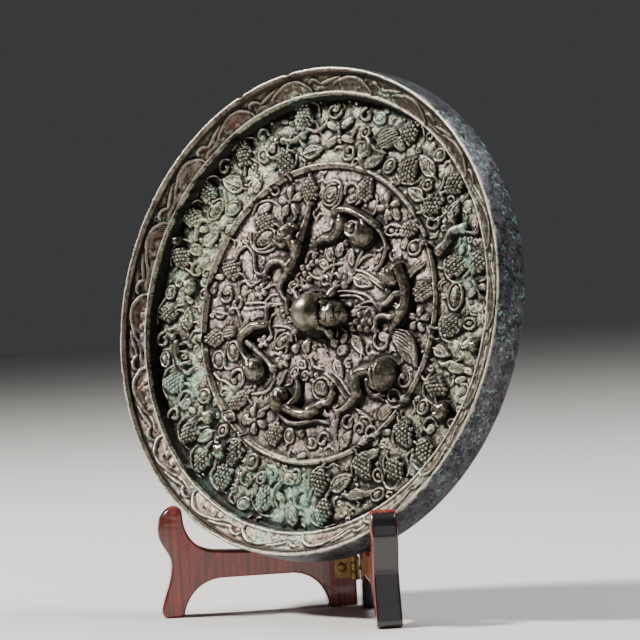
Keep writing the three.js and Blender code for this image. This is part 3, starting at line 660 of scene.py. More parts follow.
    each(curl, (-42.4, 8.2, 6, 160, 1, 0.7, 1.1, True), (-37.6, 4.6, 4.6, 70, -1),
         (-35.2, -22, 6.6, 300, 1, 0.8), (30, -10.5, 6.8, 120, 1, 0.8, 1.1, True), (40.5, -24, 5.8, 60, -1),
         (36.4, -29.8, 5.2, 0, 1), (17.5, -38.4, 4.6, 90, 1), (22.6, -40.6, 4.0, 200, -1),
         (27.6, -42, 4.4, 20, 1), (6.6, -44.4, 5, 0, 1))
    each(plain_leaf, (32.4, 33.4, 5, 2.6, 300, 1.2), (-26.4, 27.4, 10.5, 7.0, 205, 1.6),
         (12.8, 39.4, 4.4, 2.6, 20, 1.2), (37.2, 22.6, 3.6, 2, 60, 1.2), (-14.5, -9.5, 8, 4.2, 35, 1.5),
         (-37.5, -12.5, 5.2, 7.2, 10), (-44, -15.5, 5.2, 6.6, 20), (-36.6, -35.8, 4.8, 3.2, 140),
         (-8.5, -43, 4, 5, 10), (14, 19, 5.5, 2.4, 100), (17, -0.5, 3, 1.8, 30, 1.2),
         (4.8, -26.6, 8.6, 7.6, 330, 1.5), (1.8, -45.6, 4.4, 3.4, 0), (25.6, -44.6, 4, 2.8, 20))
    each(ring_leaf, (31, 27.5, 5.6, 4.2, 10), (41.5, 21, 6.0, 5.4, 40, 0.65, 1.1, False))
    each(striped, (-40.2, -5.6, 6.4, 4.4, 190, 4, 1.5), (33.4, -35.2, 7, 4.6, 40, 5, 1.4),
         (-27.6, 38.4, 6.6, 3.6, 200, 4, 1.3), (-3.5, -11.6, 4.6, 3.4, 80, 4, 1.3),
         (-29.4, -37, 4.2, 3, 240, 4, 1.2), (12.8, -13.4, 5.0, 3.6, 200, 4))
    each(veined_leaf, (-45.6, 1.6, 6, 3.6, 170, 1.2, 4), (19.6, 10.2, 8.6, 4.2, 340, 1.3, 4),
         (19.6, -11.6, 8.4, 3.4, 308, 1.3, 5), (11.6, -19.6, 6.8, 3.4, 300, 1.2, 3),
         (17, -44.4, 6.4, 3.2, 60, 1.2, 4))


def outer_vines():
    """Grapes, birds, small beasts and leaves of the outer field, by angle and radius."""
    grapes = ((99, 71), (123, 70.6), (140, 71), (161, 69.5), (178, 70), (200, 69), (217, 69), (227, 70.5),
              (237, 68.5), (236, 59), (255, 67.5), (277, 59.5), (278, 70), (296, 60), (306, 68), (315, 60.5),
              (317, 71), (334, 61), (354, 60), (13, 62), (12, 71), (36, 60.5), (36, 71.5), (52, 61),
              (59, 71.5), (109, 58.4), (149, 72))
    for angle, radius in grapes:
        turn = angle + random.uniform(-25, 25)
        length, width = random.uniform(8.8, 10.6), random.uniform(6.6, 8.0)
        side = 1 if radius < MIDDLE else -1
        # the shoot that runs round the bunch and off to both sides
        bend = random.uniform(-0.8, 0.8)
        out = ((-5.4, 1.0 + bend), (-4.6, -3.0 - bend), (-0.5, -5.2), (3.4, bend - 4.4))
        relief.stroke([polar(angle + at, radius + away * side) for at, away in out], 0.65, 1.0)
        bunch(*polar(angle, radius), length, width, turn, 1.55, 1.5)
    for k in range(SHOOTS):                             # the vine's main stem, in and out between the bunches
        a = 360 / SHOOTS * k
        side = 1 if k % 2 else -1
        start, reach = random.uniform(-6, -2), random.uniform(1.5, 5)
        relief.stroke(arc((a + start, MIDDLE - 1.5 * side), (a + start + reach / 2, MIDDLE + 2.4 * side),
                          (a + start + reach, MIDDLE + 4.2 * side)), 0.65, 0.95)
    striped(*polar(65.4, 65.6), 10.2, 7.2, 20, 6, 1.9)
    relief.stroke(arc((73, 63), (71, 61.6), (70.4, 58.8), (72.6, 57)), [1.6, 3.2, 3.0, 1.6], 2.4, soft=0.3)
    relief.stroke(arc((71, 62), (67.6, 60.4), (64.6, 60.8)), [2.4, 2.2, 1.2], 2.0)
    moth(*polar(85, 63.4), 95, 1.0)
    long_bird(*polar(342, 65), 160, 1)
    long_bird(*polar(290, 67.5), 190, -1)
    for back, head, tail, legs, size in (
            (((108, 65.5), (104, 63.8), (100, 64.4)), (110, 66.4),
             ((100, 64.4), (97.6, 66), (94.6, 64.8), (91, 66.8), (90.4, 68.6)),
             (((106, 64), (106.6, 61.6), (104.6, 60.0)), ((101.6, 64), (100, 60.8))), (3.0, 2.1)),
            (((188, 65), (192.4, 65.6), (196, 64)), (186, 66.4), ((196, 64), (199, 62), (198, 59)),
             (((189, 65), (188.4, 61), (190, 59)), ((195, 64), (195.6, 60.4))), (3.0, 2.1)),
            (((20, 56), (21.6, 60), (24, 63), (23, 68)), (27, 65), ((22, 68), (20, 72), (22.6, 74.6)),
             (((22, 55), (24.6, 53.6), (26.4, 50)), ((25, 65), (28.6, 66))), (3.8, 2.5))):
        small_beast(arc(*back), polar(*head), arc(*tail), [arc(*leg) for leg in legs], *size)
    for angle, radius, *flight in ((258.5, 64, 75, -1, 0.85), (5, 70, 110, 1, 0.75),
                                   (150.6, 67, 240, 1, 0.75)):
        bird(*polar(angle, radius), *flight)
    for angle, radius, size in ((169, 61, 6), (218, 58.5, 5), (231, 62, 6), (329, 68, 6.5), (349, 72, 4.2),
                                (157, 73, 3.4)):
        boss(*polar(angle, radius), size)
    for angle, radius, *leaf in (
            (142, 64, 9, 5.4, 50), (137, 57.6, 7, 4.6, 20), (3.3, 60.6, 9.6, 6, 90), (210, 57, 5.6, 5, 0),
            (245, 57.4, 5.6, 4.6, 60), (297.6, 71.2, 5.6, 4, 30), (60, 57.6, 5.4, 4.2, 40),
            (172, 70.4, 5, 4, 80), (248, 72, 5.4, 4.2, 10), (326, 60, 5, 4, 60), (71, 71, 5, 4, 0),
            (46, 72.6, 5, 4, 30), (263, 58, 6, 4.6, 350), (192, 71.4, 5.4, 4, 100)):
        plain_leaf(*polar(angle, radius), *leaf, 1.5)
    for angle, radius, *leaf in (
            (131.6, 64.6, 10.5, 6.0, 160), (96.4, 57.8, 8.4, 4.6, 10), (47, 66.6, 10, 5.0, 130),
            (43.6, 57, 7.6, 4.2, 150), (285.4, 61.4, 10, 5.4, 30), (266.6, 71, 7, 4.2, 100),
            (180.6, 60.4, 8, 4.4, 95), (151, 59, 8, 4.2, 30), (345, 58, 7, 3.8, 340),
            (222, 64, 7, 3.8, 210), (29.6, 66.4, 7, 4.0, 60)):
        veined_leaf(*polar(angle, radius), *leaf, 1.4, 5)
    for angle, radius, *leaf in ((67.6, 57, 9.4, 5, 30, 6, 1.6), (60.5, 66, 6.4, 4, 140, 4, 1.5),
                                 (300, 57.4, 7, 3.6, 30, 4, 1.4), (305.6, 73.4, 7, 3.4, 215, 4, 1.3)):
        striped(*polar(angle, radius), *leaf)
    for angle, radius, size, turn, sense in (
            (207, 66, 7, 0, 1), (113, 64, 5.6, 40, -1), (79.6, 57, 5.4, 200, 1), (163, 60, 5.4, 90, 1),
            (269.4, 64.6, 6.4, 270, -1), (323, 66.4, 5.6, 0, 1), (31, 57, 5, 30, -1),
            (245.6, 63.6, 5.4, 120, 1), (131, 72.6, 5.2, 60, 1), (88, 71.6, 5.6, 0, -1), (186, 72, 5, 100, 1),
            (209, 72.6, 5, 200, -1), (76, 71, 4.6, 100, 1), (115, 72, 4.4, 0, 1)):
        curl(*polar(angle, radius), size, turn, sense, 0.8, 1.3, leaf=size > 5.5)
    for angle, radius, *size in (
            (117, 64.6, 5.8, 4.6), (157, 64, 5.4, 4.4), (226, 57, 5, 4.2), (355, 67.4, 5.4, 4.4),
            (300, 65.4, 5.4, 4.4), (266, 57.2, 5.6, 4.4), (74.6, 65, 4.6, 4), (42.6, 62.4, 4.6, 4),
            (251, 61, 5, 4), (328, 74, 4.6, 3.6)):
        ring_leaf(*polar(angle, radius), *size, angle, 0.8, 1.25)


def small_things():
    """Where the vines still leave the floor bare, seeded buds, curls and twigs fill it."""
    for _ in range(SMALL_TRIES):
        angle = random.uniform(0, 360)
        field = INNER_FIELD if random.rand() < 0.4 else OUTER_FIELD
        radius = random.uniform(*field)
        size = random.uniform(1.3, 3.6)
        turn = random.uniform(0, 360)
        kind = random.randint(5)
        x, y = polar(angle, radius)
        reach = size * 0.55
        where = relief.window(x - reach, y - reach, x + reach, y + reach)[0]
        if relief.height[where].max() > BARE:
            continue
        if kind == 0 and size < 2.6:
            bud(x, y, size * 0.6, 1.1)
        elif kind == 1:
            curl(x, y, size * 1.1, turn, random.choice((-1, 1)), 0.5, 0.95)
        elif kind == 2:
            plain_leaf(x, y, size * 1.2, size * 0.55, turn, 1.05, size > 2.4)
        else:
            place = local(x, y, turn)
            bend = random.choice((-1, 1)) * size * 0.4
            vine([place(-size * 0.7, 0), place(-size * 0.1, bend), place(size * 0.7, bend * 0.2)], 0.55, 0.9)
            if kind == 4:
                vine([place(-size * 0.6, -0.9), place(0, bend - 0.9), place(size * 0.5, bend * 0.2 - 0.9)],
                     0.45, 0.7)


def border():
    """The scroll of the sloping band: an arch, a blade and a small bump, again and again."""
    lines = (
        (((0, 77.7), (0.3, 79.2), (1.8, 80.7), (3.3, 81.8), (5, 82.2), (7.2, 82), (9, 81.3), (11.4, 80.5),
          (13, 79.4)), (0.7, 1.1, 1.3, 1.3, 1.2, 1.1, 1.0, 0.8, 0.5), 0.85),
        (((9.8, 82.1), (11.5, 81.6), (13.4, 81), (14.9, 80.4), (16.4, 80)), (0.5, 0.9, 1.0, 0.9, 0.6), 0.7),
        (((16.4, 80), (17, 80.9), (18.2, 81.6), (19.5, 81.5), (20.2, 80.6)), (0.6, 0.9, 1.1, 0.9, 0.5), 0.7),
        (((13.4, 79.4), (15.2, 78.8), (17.6, 79), (19, 78.2)), (0.4, 0.8, 0.8, 0.4), 0.5))
    for k in range(ARCHES):
        a = FIRST_ARCH + ARCH_PITCH * k
        for line, widths, height in lines:
            relief.stroke([polar(a + u, r) for u, r in line], [w * random.uniform(0.85, 1.1) for w in widths],
                          height, soft=0.2)
        relief.stroke([polar(a + u, r) for u, r in ((1.6, 79.4), (4.4, 81), (7.6, 80.8), (10, 79.8))],
                      (0.6, 1.6, 1.6, 0.6), 0.3)
        for u in np.linspace(0.9, 3.6, 6):                # shell-like ribs in the arch's hollow
            rib = arc((a + u, 77.7), (a + u * 1.15 + 0.4, 79.4), (a + u * 1.4 + 0.8, 80.4 + 0.25 * u))
            relief.stroke(rib, 0.36, 0.32, ends=0.7)
        for u, r, size in ((5.6, 78.7, 1.7), (8.8, 78.6, 1.8), (11.4, 78.4, 1.4)):
            relief.mound(*polar(a + u, r), size * 1.5, size, 0.34, a + 90 + 20 * random.rand())


inner_beasts()
inner_vines()
outer_vines()
small_things()
knob()
grid_x, grid_y = AXIS[None, :], AXIS[:, None]
grid_r = np.hypot(grid_x, grid_y)
relief.height *= np.clip((BAND_INNER - 1.0 - grid_r) / 0.5, 0, 1)      # the fields end at the border's wall
border()

# the casting is soft at its edges, and corrosion has roughened it, least on the rubbed knob and the rim
motifs = blurred(relief.height, 0.1)
unevenness = 0.035 * noise(0.8) + 0.045 * noise(2.4) + 0.06 * noise(9)
pits = np.clip(noise(1.2) - 1.7, 0, 1) * 0.22
on_knob = np.clip(1 - np.hypot(grid_x - 2, grid_y) / 9, 0, 1) ** 0.5
calm = np.where(grid_r > 82.5, 0.6, 1) * (1 - 0.85 * on_knob)
relief_map = motifs + (unevenness - pits) * calm


# ======================================================================================
# The mirror's mesh
# ======================================================================================
BACK_PROFILE = np.array([
    (0, INNER_GROUND), (RIDGE_RADIUS - 1.4, INNER_GROUND), (RIDGE_RADIUS - 0.5, RIDGE_TOP - 0.5),
    (RIDGE_RADIUS - 0.25, RIDGE_TOP), (RIDGE_RADIUS + 0.25, RIDGE_TOP),
    (RIDGE_RADIUS + 0.45, RIDGE_TOP - 0.5), (RIDGE_RADIUS + 0.9, OUTER_GROUND),
    (BAND_INNER - 1.2, OUTER_GROUND), (BAND_INNER - 0.35, 0.1 - BAND_DROP),
    (BAND_INNER, 0.45 - BAND_DROP), (BAND_INNER + 0.45, 0.4 - BAND_DROP), (BAND_INNER + 0.8, -BAND_DROP),
    (82.2, -2.5), (82.9, -2.4), (83.7, -1.9), (84.1, -0.5), (84.35, -0.1), (84.7, 0), (RIM_RADIUS, -0.05)])
SIDE_PROFILE = [
    (RIM_RADIUS + 0.25, -0.6), (SHOULDER, -SHOULDER_DROP), (RIM_RADIUS + 0.75, -4), (RIM_RADIUS + 1.0, -6.5),
    (RIM_RADIUS + 1.22, -9.2), (RIM_RADIUS + 1.36, -11.6), (FACE_RADIUS, 1.2 - RIM_HEIGHT),
    (FACE_RADIUS - 0.08, 0.4 - RIM_HEIGHT), (FACE_RADIUS - 0.5, 0.02 - RIM_HEIGHT)]
RIM_COLUMNS = 960
NICKS = 90


def sample(field, x, y):
    """The map's value at points, between its cells."""
    i = np.clip((x + EXTENT) / CELL, 0, CELLS - 2)
    j = np.clip((y + EXTENT) / CELL, 0, CELLS - 2)
    i0, j0 = i.astype(int), j.astype(int)
    fi, fj = i - i0, j - j0
    return ((field[j0, i0] * (1 - fi) + field[j0, i0 + 1] * fi) * (1 - fj)
            + (field[j0 + 1, i0] * (1 - fi) + field[j0 + 1, i0 + 1] * fi) * fj)


def casting_at(r):
    """The plain casting's height at a radius, without its relief."""
    return np.interp(r, BACK_PROFILE[:, 0], BACK_PROFILE[:, 1])


def ring_radii():
    """Radii of the mesh's rings over the decorated back, dense where it is carved."""
    radii = [*np.arange(0.5, 10, 0.5), *np.arange(10, RIM_RADIUS - 0.05, 0.29), *BACK_PROFILE[1:, 0]]
    radii = np.array(sorted(set(np.round(radii, 2))))
    keep = np.concatenate([[True], np.diff(radii) > 0.1])
    return radii[keep]


def columns_at(radius):
    for limit, columns in ((38, 1920), (18, 960), (8, 480), (3.5, 240)):
        if radius >= limit:
            return columns
    return 120


def rim_nicks(angle):
    """How far the old rim is dented inwards, by angle in radians."""
    out = (0.03 * (1 + np.sin(5 * angle) * np.sin(2 * angle + 1))
           + 0.015 * (1 + np.sin(31 * angle) * np.sin(17 * angle)))
    for centre, width, depth in zip(random.uniform(0, 2 * math.pi, NICKS), random.uniform(0.004, 0.02, NICKS),
                                    random.uniform(0.02, 0.2, NICKS)):
        away = (angle - centre + math.pi) % (2 * math.pi) - math.pi
        out += depth * np.exp(-(away / width) ** 2)
    return out


def mirror_mesh():
    """Rings from the middle of the back over the rim to the middle of the polished face."""
    rings = [(r, None, columns_at(r)) for r in ring_radii()]
    rings += [(r, z, RIM_COLUMNS) for r, z in SIDE_PROFILE]
    rings += [(r, -RIM_HEIGHT - FACE_CROWN * (1 - (r / FACE_RADIUS) ** 2), 240 if r > 45 else 120)
              for r in (84.6, 82.5, 79, 74, 68, 60, 51, 41, 30, 19, 9)]
    steps = np.linspace(0, 2 * math.pi, 2881)
    dents = rim_nicks(steps)
    vertices, faces = [np.array([[0, 0, INNER_GROUND + relief_map[CELLS // 2, CELLS // 2]]])], []
    start = 1
    previous = None
    for r, z, columns in rings:
        angle = np.arange(columns) * 2 * math.pi / columns
        x, y = r * np.cos(angle), r * np.sin(angle)
        if z is None:
            height = casting_at(r) + sample(relief_map, x, y) * back_fade(r)
        else:
            height = np.full(columns, float(z))
        if r > RIM_RADIUS - 0.8 and height.max() > -2:       # the rim's edge
            nick = np.interp(angle, steps, dents) * (1 if height.max() > -0.8 else 0.4)
            x, y, height = x * (1 - nick / r), y * (1 - nick / r), height - 0.5 * nick
        vertices.append(np.stack([x, y, height], 1))
        k = np.arange(columns)
        if previous is None:
            faces.append(np.stack([np.zeros(columns, int), start + k, start + (k + 1) % columns], 1))
        else:
            faces.append(stitched(*previous, start, columns))
        previous = (start, columns)
        start += columns
    vertices.append(np.array([[0, 0, -RIM_HEIGHT - FACE_CROWN]]))
    first, columns = previous
    k = np.arange(columns)
    faces.append(np.stack([first + k, np.full(columns, start), first + (k + 1) % columns], 1))
    return np.concatenate(vertices), np.concatenate(faces)


def back_fade(r):
    """The map ends short of the sharp rim."""
    return min(1.0, max(0.0, (RIM_RADIUS - 0.2 - r) / 0.8))


def stitched(first_a, a, first_b, b):
    """Triangles between ring a (inside) and ring b (outside), whose counts are equal or in a whole ratio."""
    if a == b:
        k = np.arange(a)
        n = (k + 1) % a
        return np.concatenate([np.stack([first_a + k, first_b + k, first_b + n], 1),
                               np.stack([first_a + k, first_b + n, first_a + n], 1)])
    if b > a:
        ratio, k = b // a, np.arange(a)
        n = (k + 1) % a
        out = [np.stack([first_a + k, first_b + k * ratio + j, first_b + (k * ratio + j + 1) % b], 1)
               for j in range(ratio)]
        out.append(np.stack([first_a + k, first_b + ((k + 1) * ratio) % b, first_a + n], 1))
        return np.concatenate(out)
    flipped = stitched(first_b, b, first_a, a)
    return flipped[:, ::-1]


def mesh_from(name, vertices, faces):
    mesh = bpy.data.meshes.new(name)
    mesh.vertices.add(len(vertices))
    mesh.vertices.foreach_set("co", np.asarray(vertices, np.float32).ravel())
    mesh.loops.add(faces.size)
    mesh.loops.foreach_set("vertex_index", faces.astype(np.int32).ravel())
    mesh.polygons.add(len(faces))
    mesh.polygons.foreach_set("loop_start", np.arange(0, faces.size, 3, dtype=np.int32))
    mesh.update(calc_edges=True)
    mesh.validate()
    return mesh


def linked(name, data):
    """A new object in the scene, with its mesh, light or camera."""
    piece = bpy.data.objects.new(name, data)
    bpy.context.scene.collection.objects.link(piece)
    return piece


def mesh_of(name, shape):
    """A bmesh made into a mesh, and freed."""
    mesh = bpy.data.meshes.new(name)
    shape.to_mesh(mesh)
    shape.free()
    return mesh


def apply_modifiers(piece):
    graph = bpy.context.evaluated_depsgraph_get()
    mesh = bpy.data.meshes.new_from_object(piece.evaluated_get(graph))
    piece.modifiers.clear()
    old = piece.data
    piece.data = mesh
    bpy.data.meshes.remove(old)


def subtract(piece, tool, solver):
    """Cuts the tool's shape out of the piece."""
    cutter = piece.modifiers.new("cut", "BOOLEAN")
    cutter.operation = "DIFFERENCE"
    cutter.solver = solver
    cutter.object = tool
    apply_modifiers(piece)


def pierce(piece):
    """Cuts the cord hole through the knob, across the mirror just above the floor."""
    shape = bmesh.new()
    place = Matrix.Translation((HOLE_X, 0, INNER_GROUND + HOLE_HEIGHT)) @ Matrix.Rotation(math.pi / 2, 4, "X")
    bmesh.ops.create_cone(shape, cap_ends=True, segments=24, radius1=HOLE_RADIUS, radius2=HOLE_RADIUS,
                          depth=HOLE_LENGTH, matrix=place)
    bmesh.ops.recalc_face_normals(shape, faces=shape.faces[:])
    tool = linked("cord_hole", mesh_of("cord_hole", shape))
    subtract(piece, tool, "MANIFOLD")
    bpy.data.meshes.remove(tool.data)


def smoothed(piece):
    piece.data.polygons.foreach_set("use_smooth", np.ones(len(piece.data.polygons), bool))


def set_attribute(mesh, name, values):
    attribute = mesh.attributes.new(name, "FLOAT", "POINT")
    attribute.data.foreach_set("value", np.asarray(values, np.float32))


def patches(places):
    """A soft patch for each angle, radius, size and amount."""
    out = np.zeros((CELLS, CELLS))
    for angle, radius, size, amount in places:
        x, y = polar(angle, radius)
        out += amount * np.exp(-((grid_x - x) ** 2 + (grid_y - y) ** 2) / (2 * (size * 0.75) ** 2))
    return out


def patina_map():
    """How green each place of the back is."""
    cloud = noise(7) * 0.26 + noise(2.2) * 0.22
    green = patches(((262, 66, 11, 1.0), (250, 69, 8, 0.8), (275, 71, 8, 0.6), (236, 68, 8, 0.8),
                     (316, 72, 8, 0.45), (200, 64, 10, 0.45), (175, 62, 9, 0.55), (155, 62, 9, 0.5),
                     (140, 62, 8, 0.6), (118, 66, 8, 0.45), (100, 73, 8, 0.45), (70, 73, 8, 0.3),
                     (12, 68, 7, 0.5), (24, 66, 6, 0.35), (213, 44, 8, 0.35), (290, 45, 8, 0.25),
                     (185, 24, 6, 0.15), (220, 60, 8, 0.5), (348, 70, 6, 0.3), (225, 30, 6, 0.2)))
    return np.clip(green + cloud * (0.3 + green) - 0.1 + 0.08 * (grid_r > 54), 0, 1)


def stain_map():
    """Red-brown earth that lies in the hollows of the border's arches."""
    spots = ((4, 79.6, 2.2, 0.8), (8, 79.6, 2.4, 0.8), (17.4, 79.2, 1.8, 0.4))
    places = [(FIRST_ARCH + ARCH_PITCH * k + at, radius, size, amount * (1 if 2 < k < 9 else 0.5))
              for k in range(ARCHES) for at, radius, size, amount in spots]
    return np.clip((patches(places) * (1 + noise(3) * 0.35) + noise(6) * 0.12) * (grid_r > BAND_INNER), 0, 1)


def lime_map():
    """Where the green is a pale yellow bloom on what stands up, not turquoise."""
    bloom = patches(((150, 63, 16, 0.9), (125, 66, 13, 0.7), (175, 62, 10, 0.7), (205, 55, 10, 0.6),
                     (222, 50, 9, 0.8), (195, 32, 8, 0.5), (240, 60, 7, 0.6), (266, 58, 7, 0.6),
                     (97, 71, 8, 0.6), (215, 80, 7, 0.5)))
    return np.clip(bloom + noise(5) * 0.2, 0, 1)


def make_mirror():
    vertices, faces = mirror_mesh()
    piece = linked("mirror_casting", mesh_from("mirror_casting", vertices, faces))
    ratio = MIRROR_TRIANGLES / len(faces)
    if ratio < 1:
        reduce = piece.modifiers.new("reduce", "DECIMATE")
        reduce.ratio = ratio
        apply_modifiers(piece)
    pierce(piece)
    mesh = piece.data
    co = np.zeros(len(mesh.vertices) * 3, np.float32)
    mesh.vertices.foreach_get("co", co)
    co = co.reshape(-1, 3).astype(float)
    x, y, z = co.T
    r = np.hypot(x, y)
    ground = casting_at(r)
    on_back = (r < RIM_RADIUS + 0.1) & (z > -RIM_HEIGHT + 0.9)
    wide = blurred(relief_map, 0.7)
    whole = casting_at(grid_r) + relief_map
    # painted shade, with dirt: how far each place lies below its blurred surroundings, darkened as ambient
    # shade would darken it
    painted_shade_and_dirt = 0.75 * (blurred(whole, 2.0) - whole) + 0.6 * (blurred(whole, 0.6) - whole)
    crest = sample(relief_map - wide, x, y)
    top = sample(relief_map - blurred(relief_map, 2.2), x, y)
    # painted shadow: the border's inner wall is made dark all round, and the ridge's flank a little, as if
    # they stood in shade
    wall = (1.3 * np.clip((r - BAND_INNER + 1.5) / 0.2, 0, 1) * np.clip((BAND_INNER - 0.02 - r) / 0.2, 0, 1)
            + 0.5 * np.exp(-((r - RIDGE_RADIUS - 0.6) / 0.25) ** 2))
    in_back = {
        "lift": np.clip((z - ground) / 2.5, 0, 1),
        "crest": np.clip(crest * 1.6, -1, 1),
        # painted shade and dirt in the hollows, plus the painted shadow of the walls
        "hollow": np.clip(sample(painted_shade_and_dirt, x, y) + wall, -2, 2),
        "top": np.clip(top, 0, 2),
        "green": sample(patina_map(), x, y),
        "stain": sample(stain_map(), x, y),
        "lime": sample(lime_map(), x, y),
        "knob": np.clip((10.6 - np.hypot(x - 2.4, y)) / 1.5, 0, 1),
        "olive": np.clip((r - 49) / 6, 0, 1),
        "band": np.clip((r - BAND_INNER) / 0.6, 0, 1) * np.clip((BAND_END - r) / 0.4, 0, 1)}
    for name, values in in_back.items():
        set_attribute(mesh, name, np.where(on_back, values, 0))
    on_face = z < 0.2 - RIM_HEIGHT
    # painted highlights: bright lines along the rim's edge, the border's inner edge and the ridge's top, and
    # along the top of the rim's outer wall
    painted_edge_highlights = (np.clip((r - BAND_END - 0.05) / 0.4, 0, 1) + np.exp(-((r - BAND_INNER - 0.2) / 0.35) ** 2)
                  + 1.1 * np.exp(-((r - RIDGE_RADIUS) / 0.24) ** 2))
    set_attribute(mesh, "edge", np.where(on_back, painted_edge_highlights, np.clip((z + 0.8) / 0.8, 0, 1)))
    # painted light: 1 on the mirror's left, falling to 0 on its right; it lightens the border band on the
    # left and shades it on the right
    set_attribute(mesh, "painted_light_from_left", np.clip(0.5 - (0.6 * x + 0.35 * y) / np.maximum(r, 1), 0, 1))
    set_attribute(mesh, "side", np.where(on_back | on_face, 0.0, 1.0))
    set_attribute(mesh, "face", on_face.astype(float))
    lean = Matrix.Rotation(math.pi / 2 - LEAN, 4, "X")
    mesh.transform(Matrix.Translation(MIRROR_CENTRE * MM) @ lean @ Matrix.Scale(MM, 4))
    smoothed(piece)
    return piece


# ======================================================================================
# Materials
# ======================================================================================
class Nodes:
    """Short calls for the nodes that the materials share."""

    def __init__(self, name):
        self.material = bpy.data.materials.new(name)
        self.material.use_nodes = True
        self.tree = self.material.node_tree
        self.shader = self.tree.nodes["Principled BSDF"]

    def node(self, kind, **settings):
        made = self.tree.nodes.new(kind)
        for key, value in settings.items():
            setattr(made, key, value)
        return made

    def join(self, source, target):
        self.tree.links.new(source, target)

    def feed(self, value, socket):
        """Joins a node's output, or sets a number or a colour of three."""
        if hasattr(value, "is_output"):
            self.join(value, socket)
        else:
            socket.default_value = (*value, 1) if isinstance(value, tuple) else value

    def attribute(self, name):
        return self.node("ShaderNodeAttribute", attribute_name=name).outputs["Fac"]

    def fed(self, made, output, **values):
        """A node with its numbered sockets fed, as in _0=value."""
        for key, value in values.items():
            self.feed(value, made.inputs[int(key[1:])])
        return made.outputs[output]

    def times(self, a, b):
        return self.fed(self.node("ShaderNodeMath", operation="MULTIPLY"), 0, _0=a, _1=b)

    def plus(self, a, b):
        return self.fed(self.node("ShaderNodeMath", operation="ADD"), 0, _0=a, _1=b)

    def mix(self, amount, a, b):
        """Between two colours."""
        return self.fed(self.node("ShaderNodeMix", data_type="RGBA"), 2, _0=amount, _6=a, _7=b)

    def mix_value(self, amount, a, b):
        """Between two numbers."""
        return self.fed(self.node("ShaderNodeMix", data_type="FLOAT"), 0, _0=amount, _2=a, _3=b)

    def noise(self, scale, detail=3.0, vector=None, distortion=0.0, rough=0.5):
        made = self.node("ShaderNodeTexNoise")
        made.inputs["Scale"].default_value = scale
        made.inputs["Detail"].default_value = detail
        made.inputs["Roughness"].default_value = rough
        made.inputs["Distortion"].default_value = distortion
        if vector is None:
            vector = self.object_coordinates()
        self.join(vector, made.inputs["Vector"])
        return made.outputs["Fac"]

    def object_coordinates(self):
        return self.node("ShaderNodeTexCoord").outputs["Object"]

    def ramp(self, value, low, high):
        """0 below low, 1 above high."""
        made = self.node("ShaderNodeMapRange", interpolation_type="SMOOTHSTEP")
        self.feed(value, made.inputs[0])
        made.inputs[1].default_value = low
        made.inputs[2].default_value = high
        return made.outputs[0]

    def bump(self, height, strength, distance):
        made = self.node("ShaderNodeBump")
        made.inputs["Strength"].default_value = strength
        made.inputs["Distance"].default_value = distance
        self.join(height, made.inputs["Height"])
        self.join(made.outputs["Normal"], self.shader.inputs["Normal"])


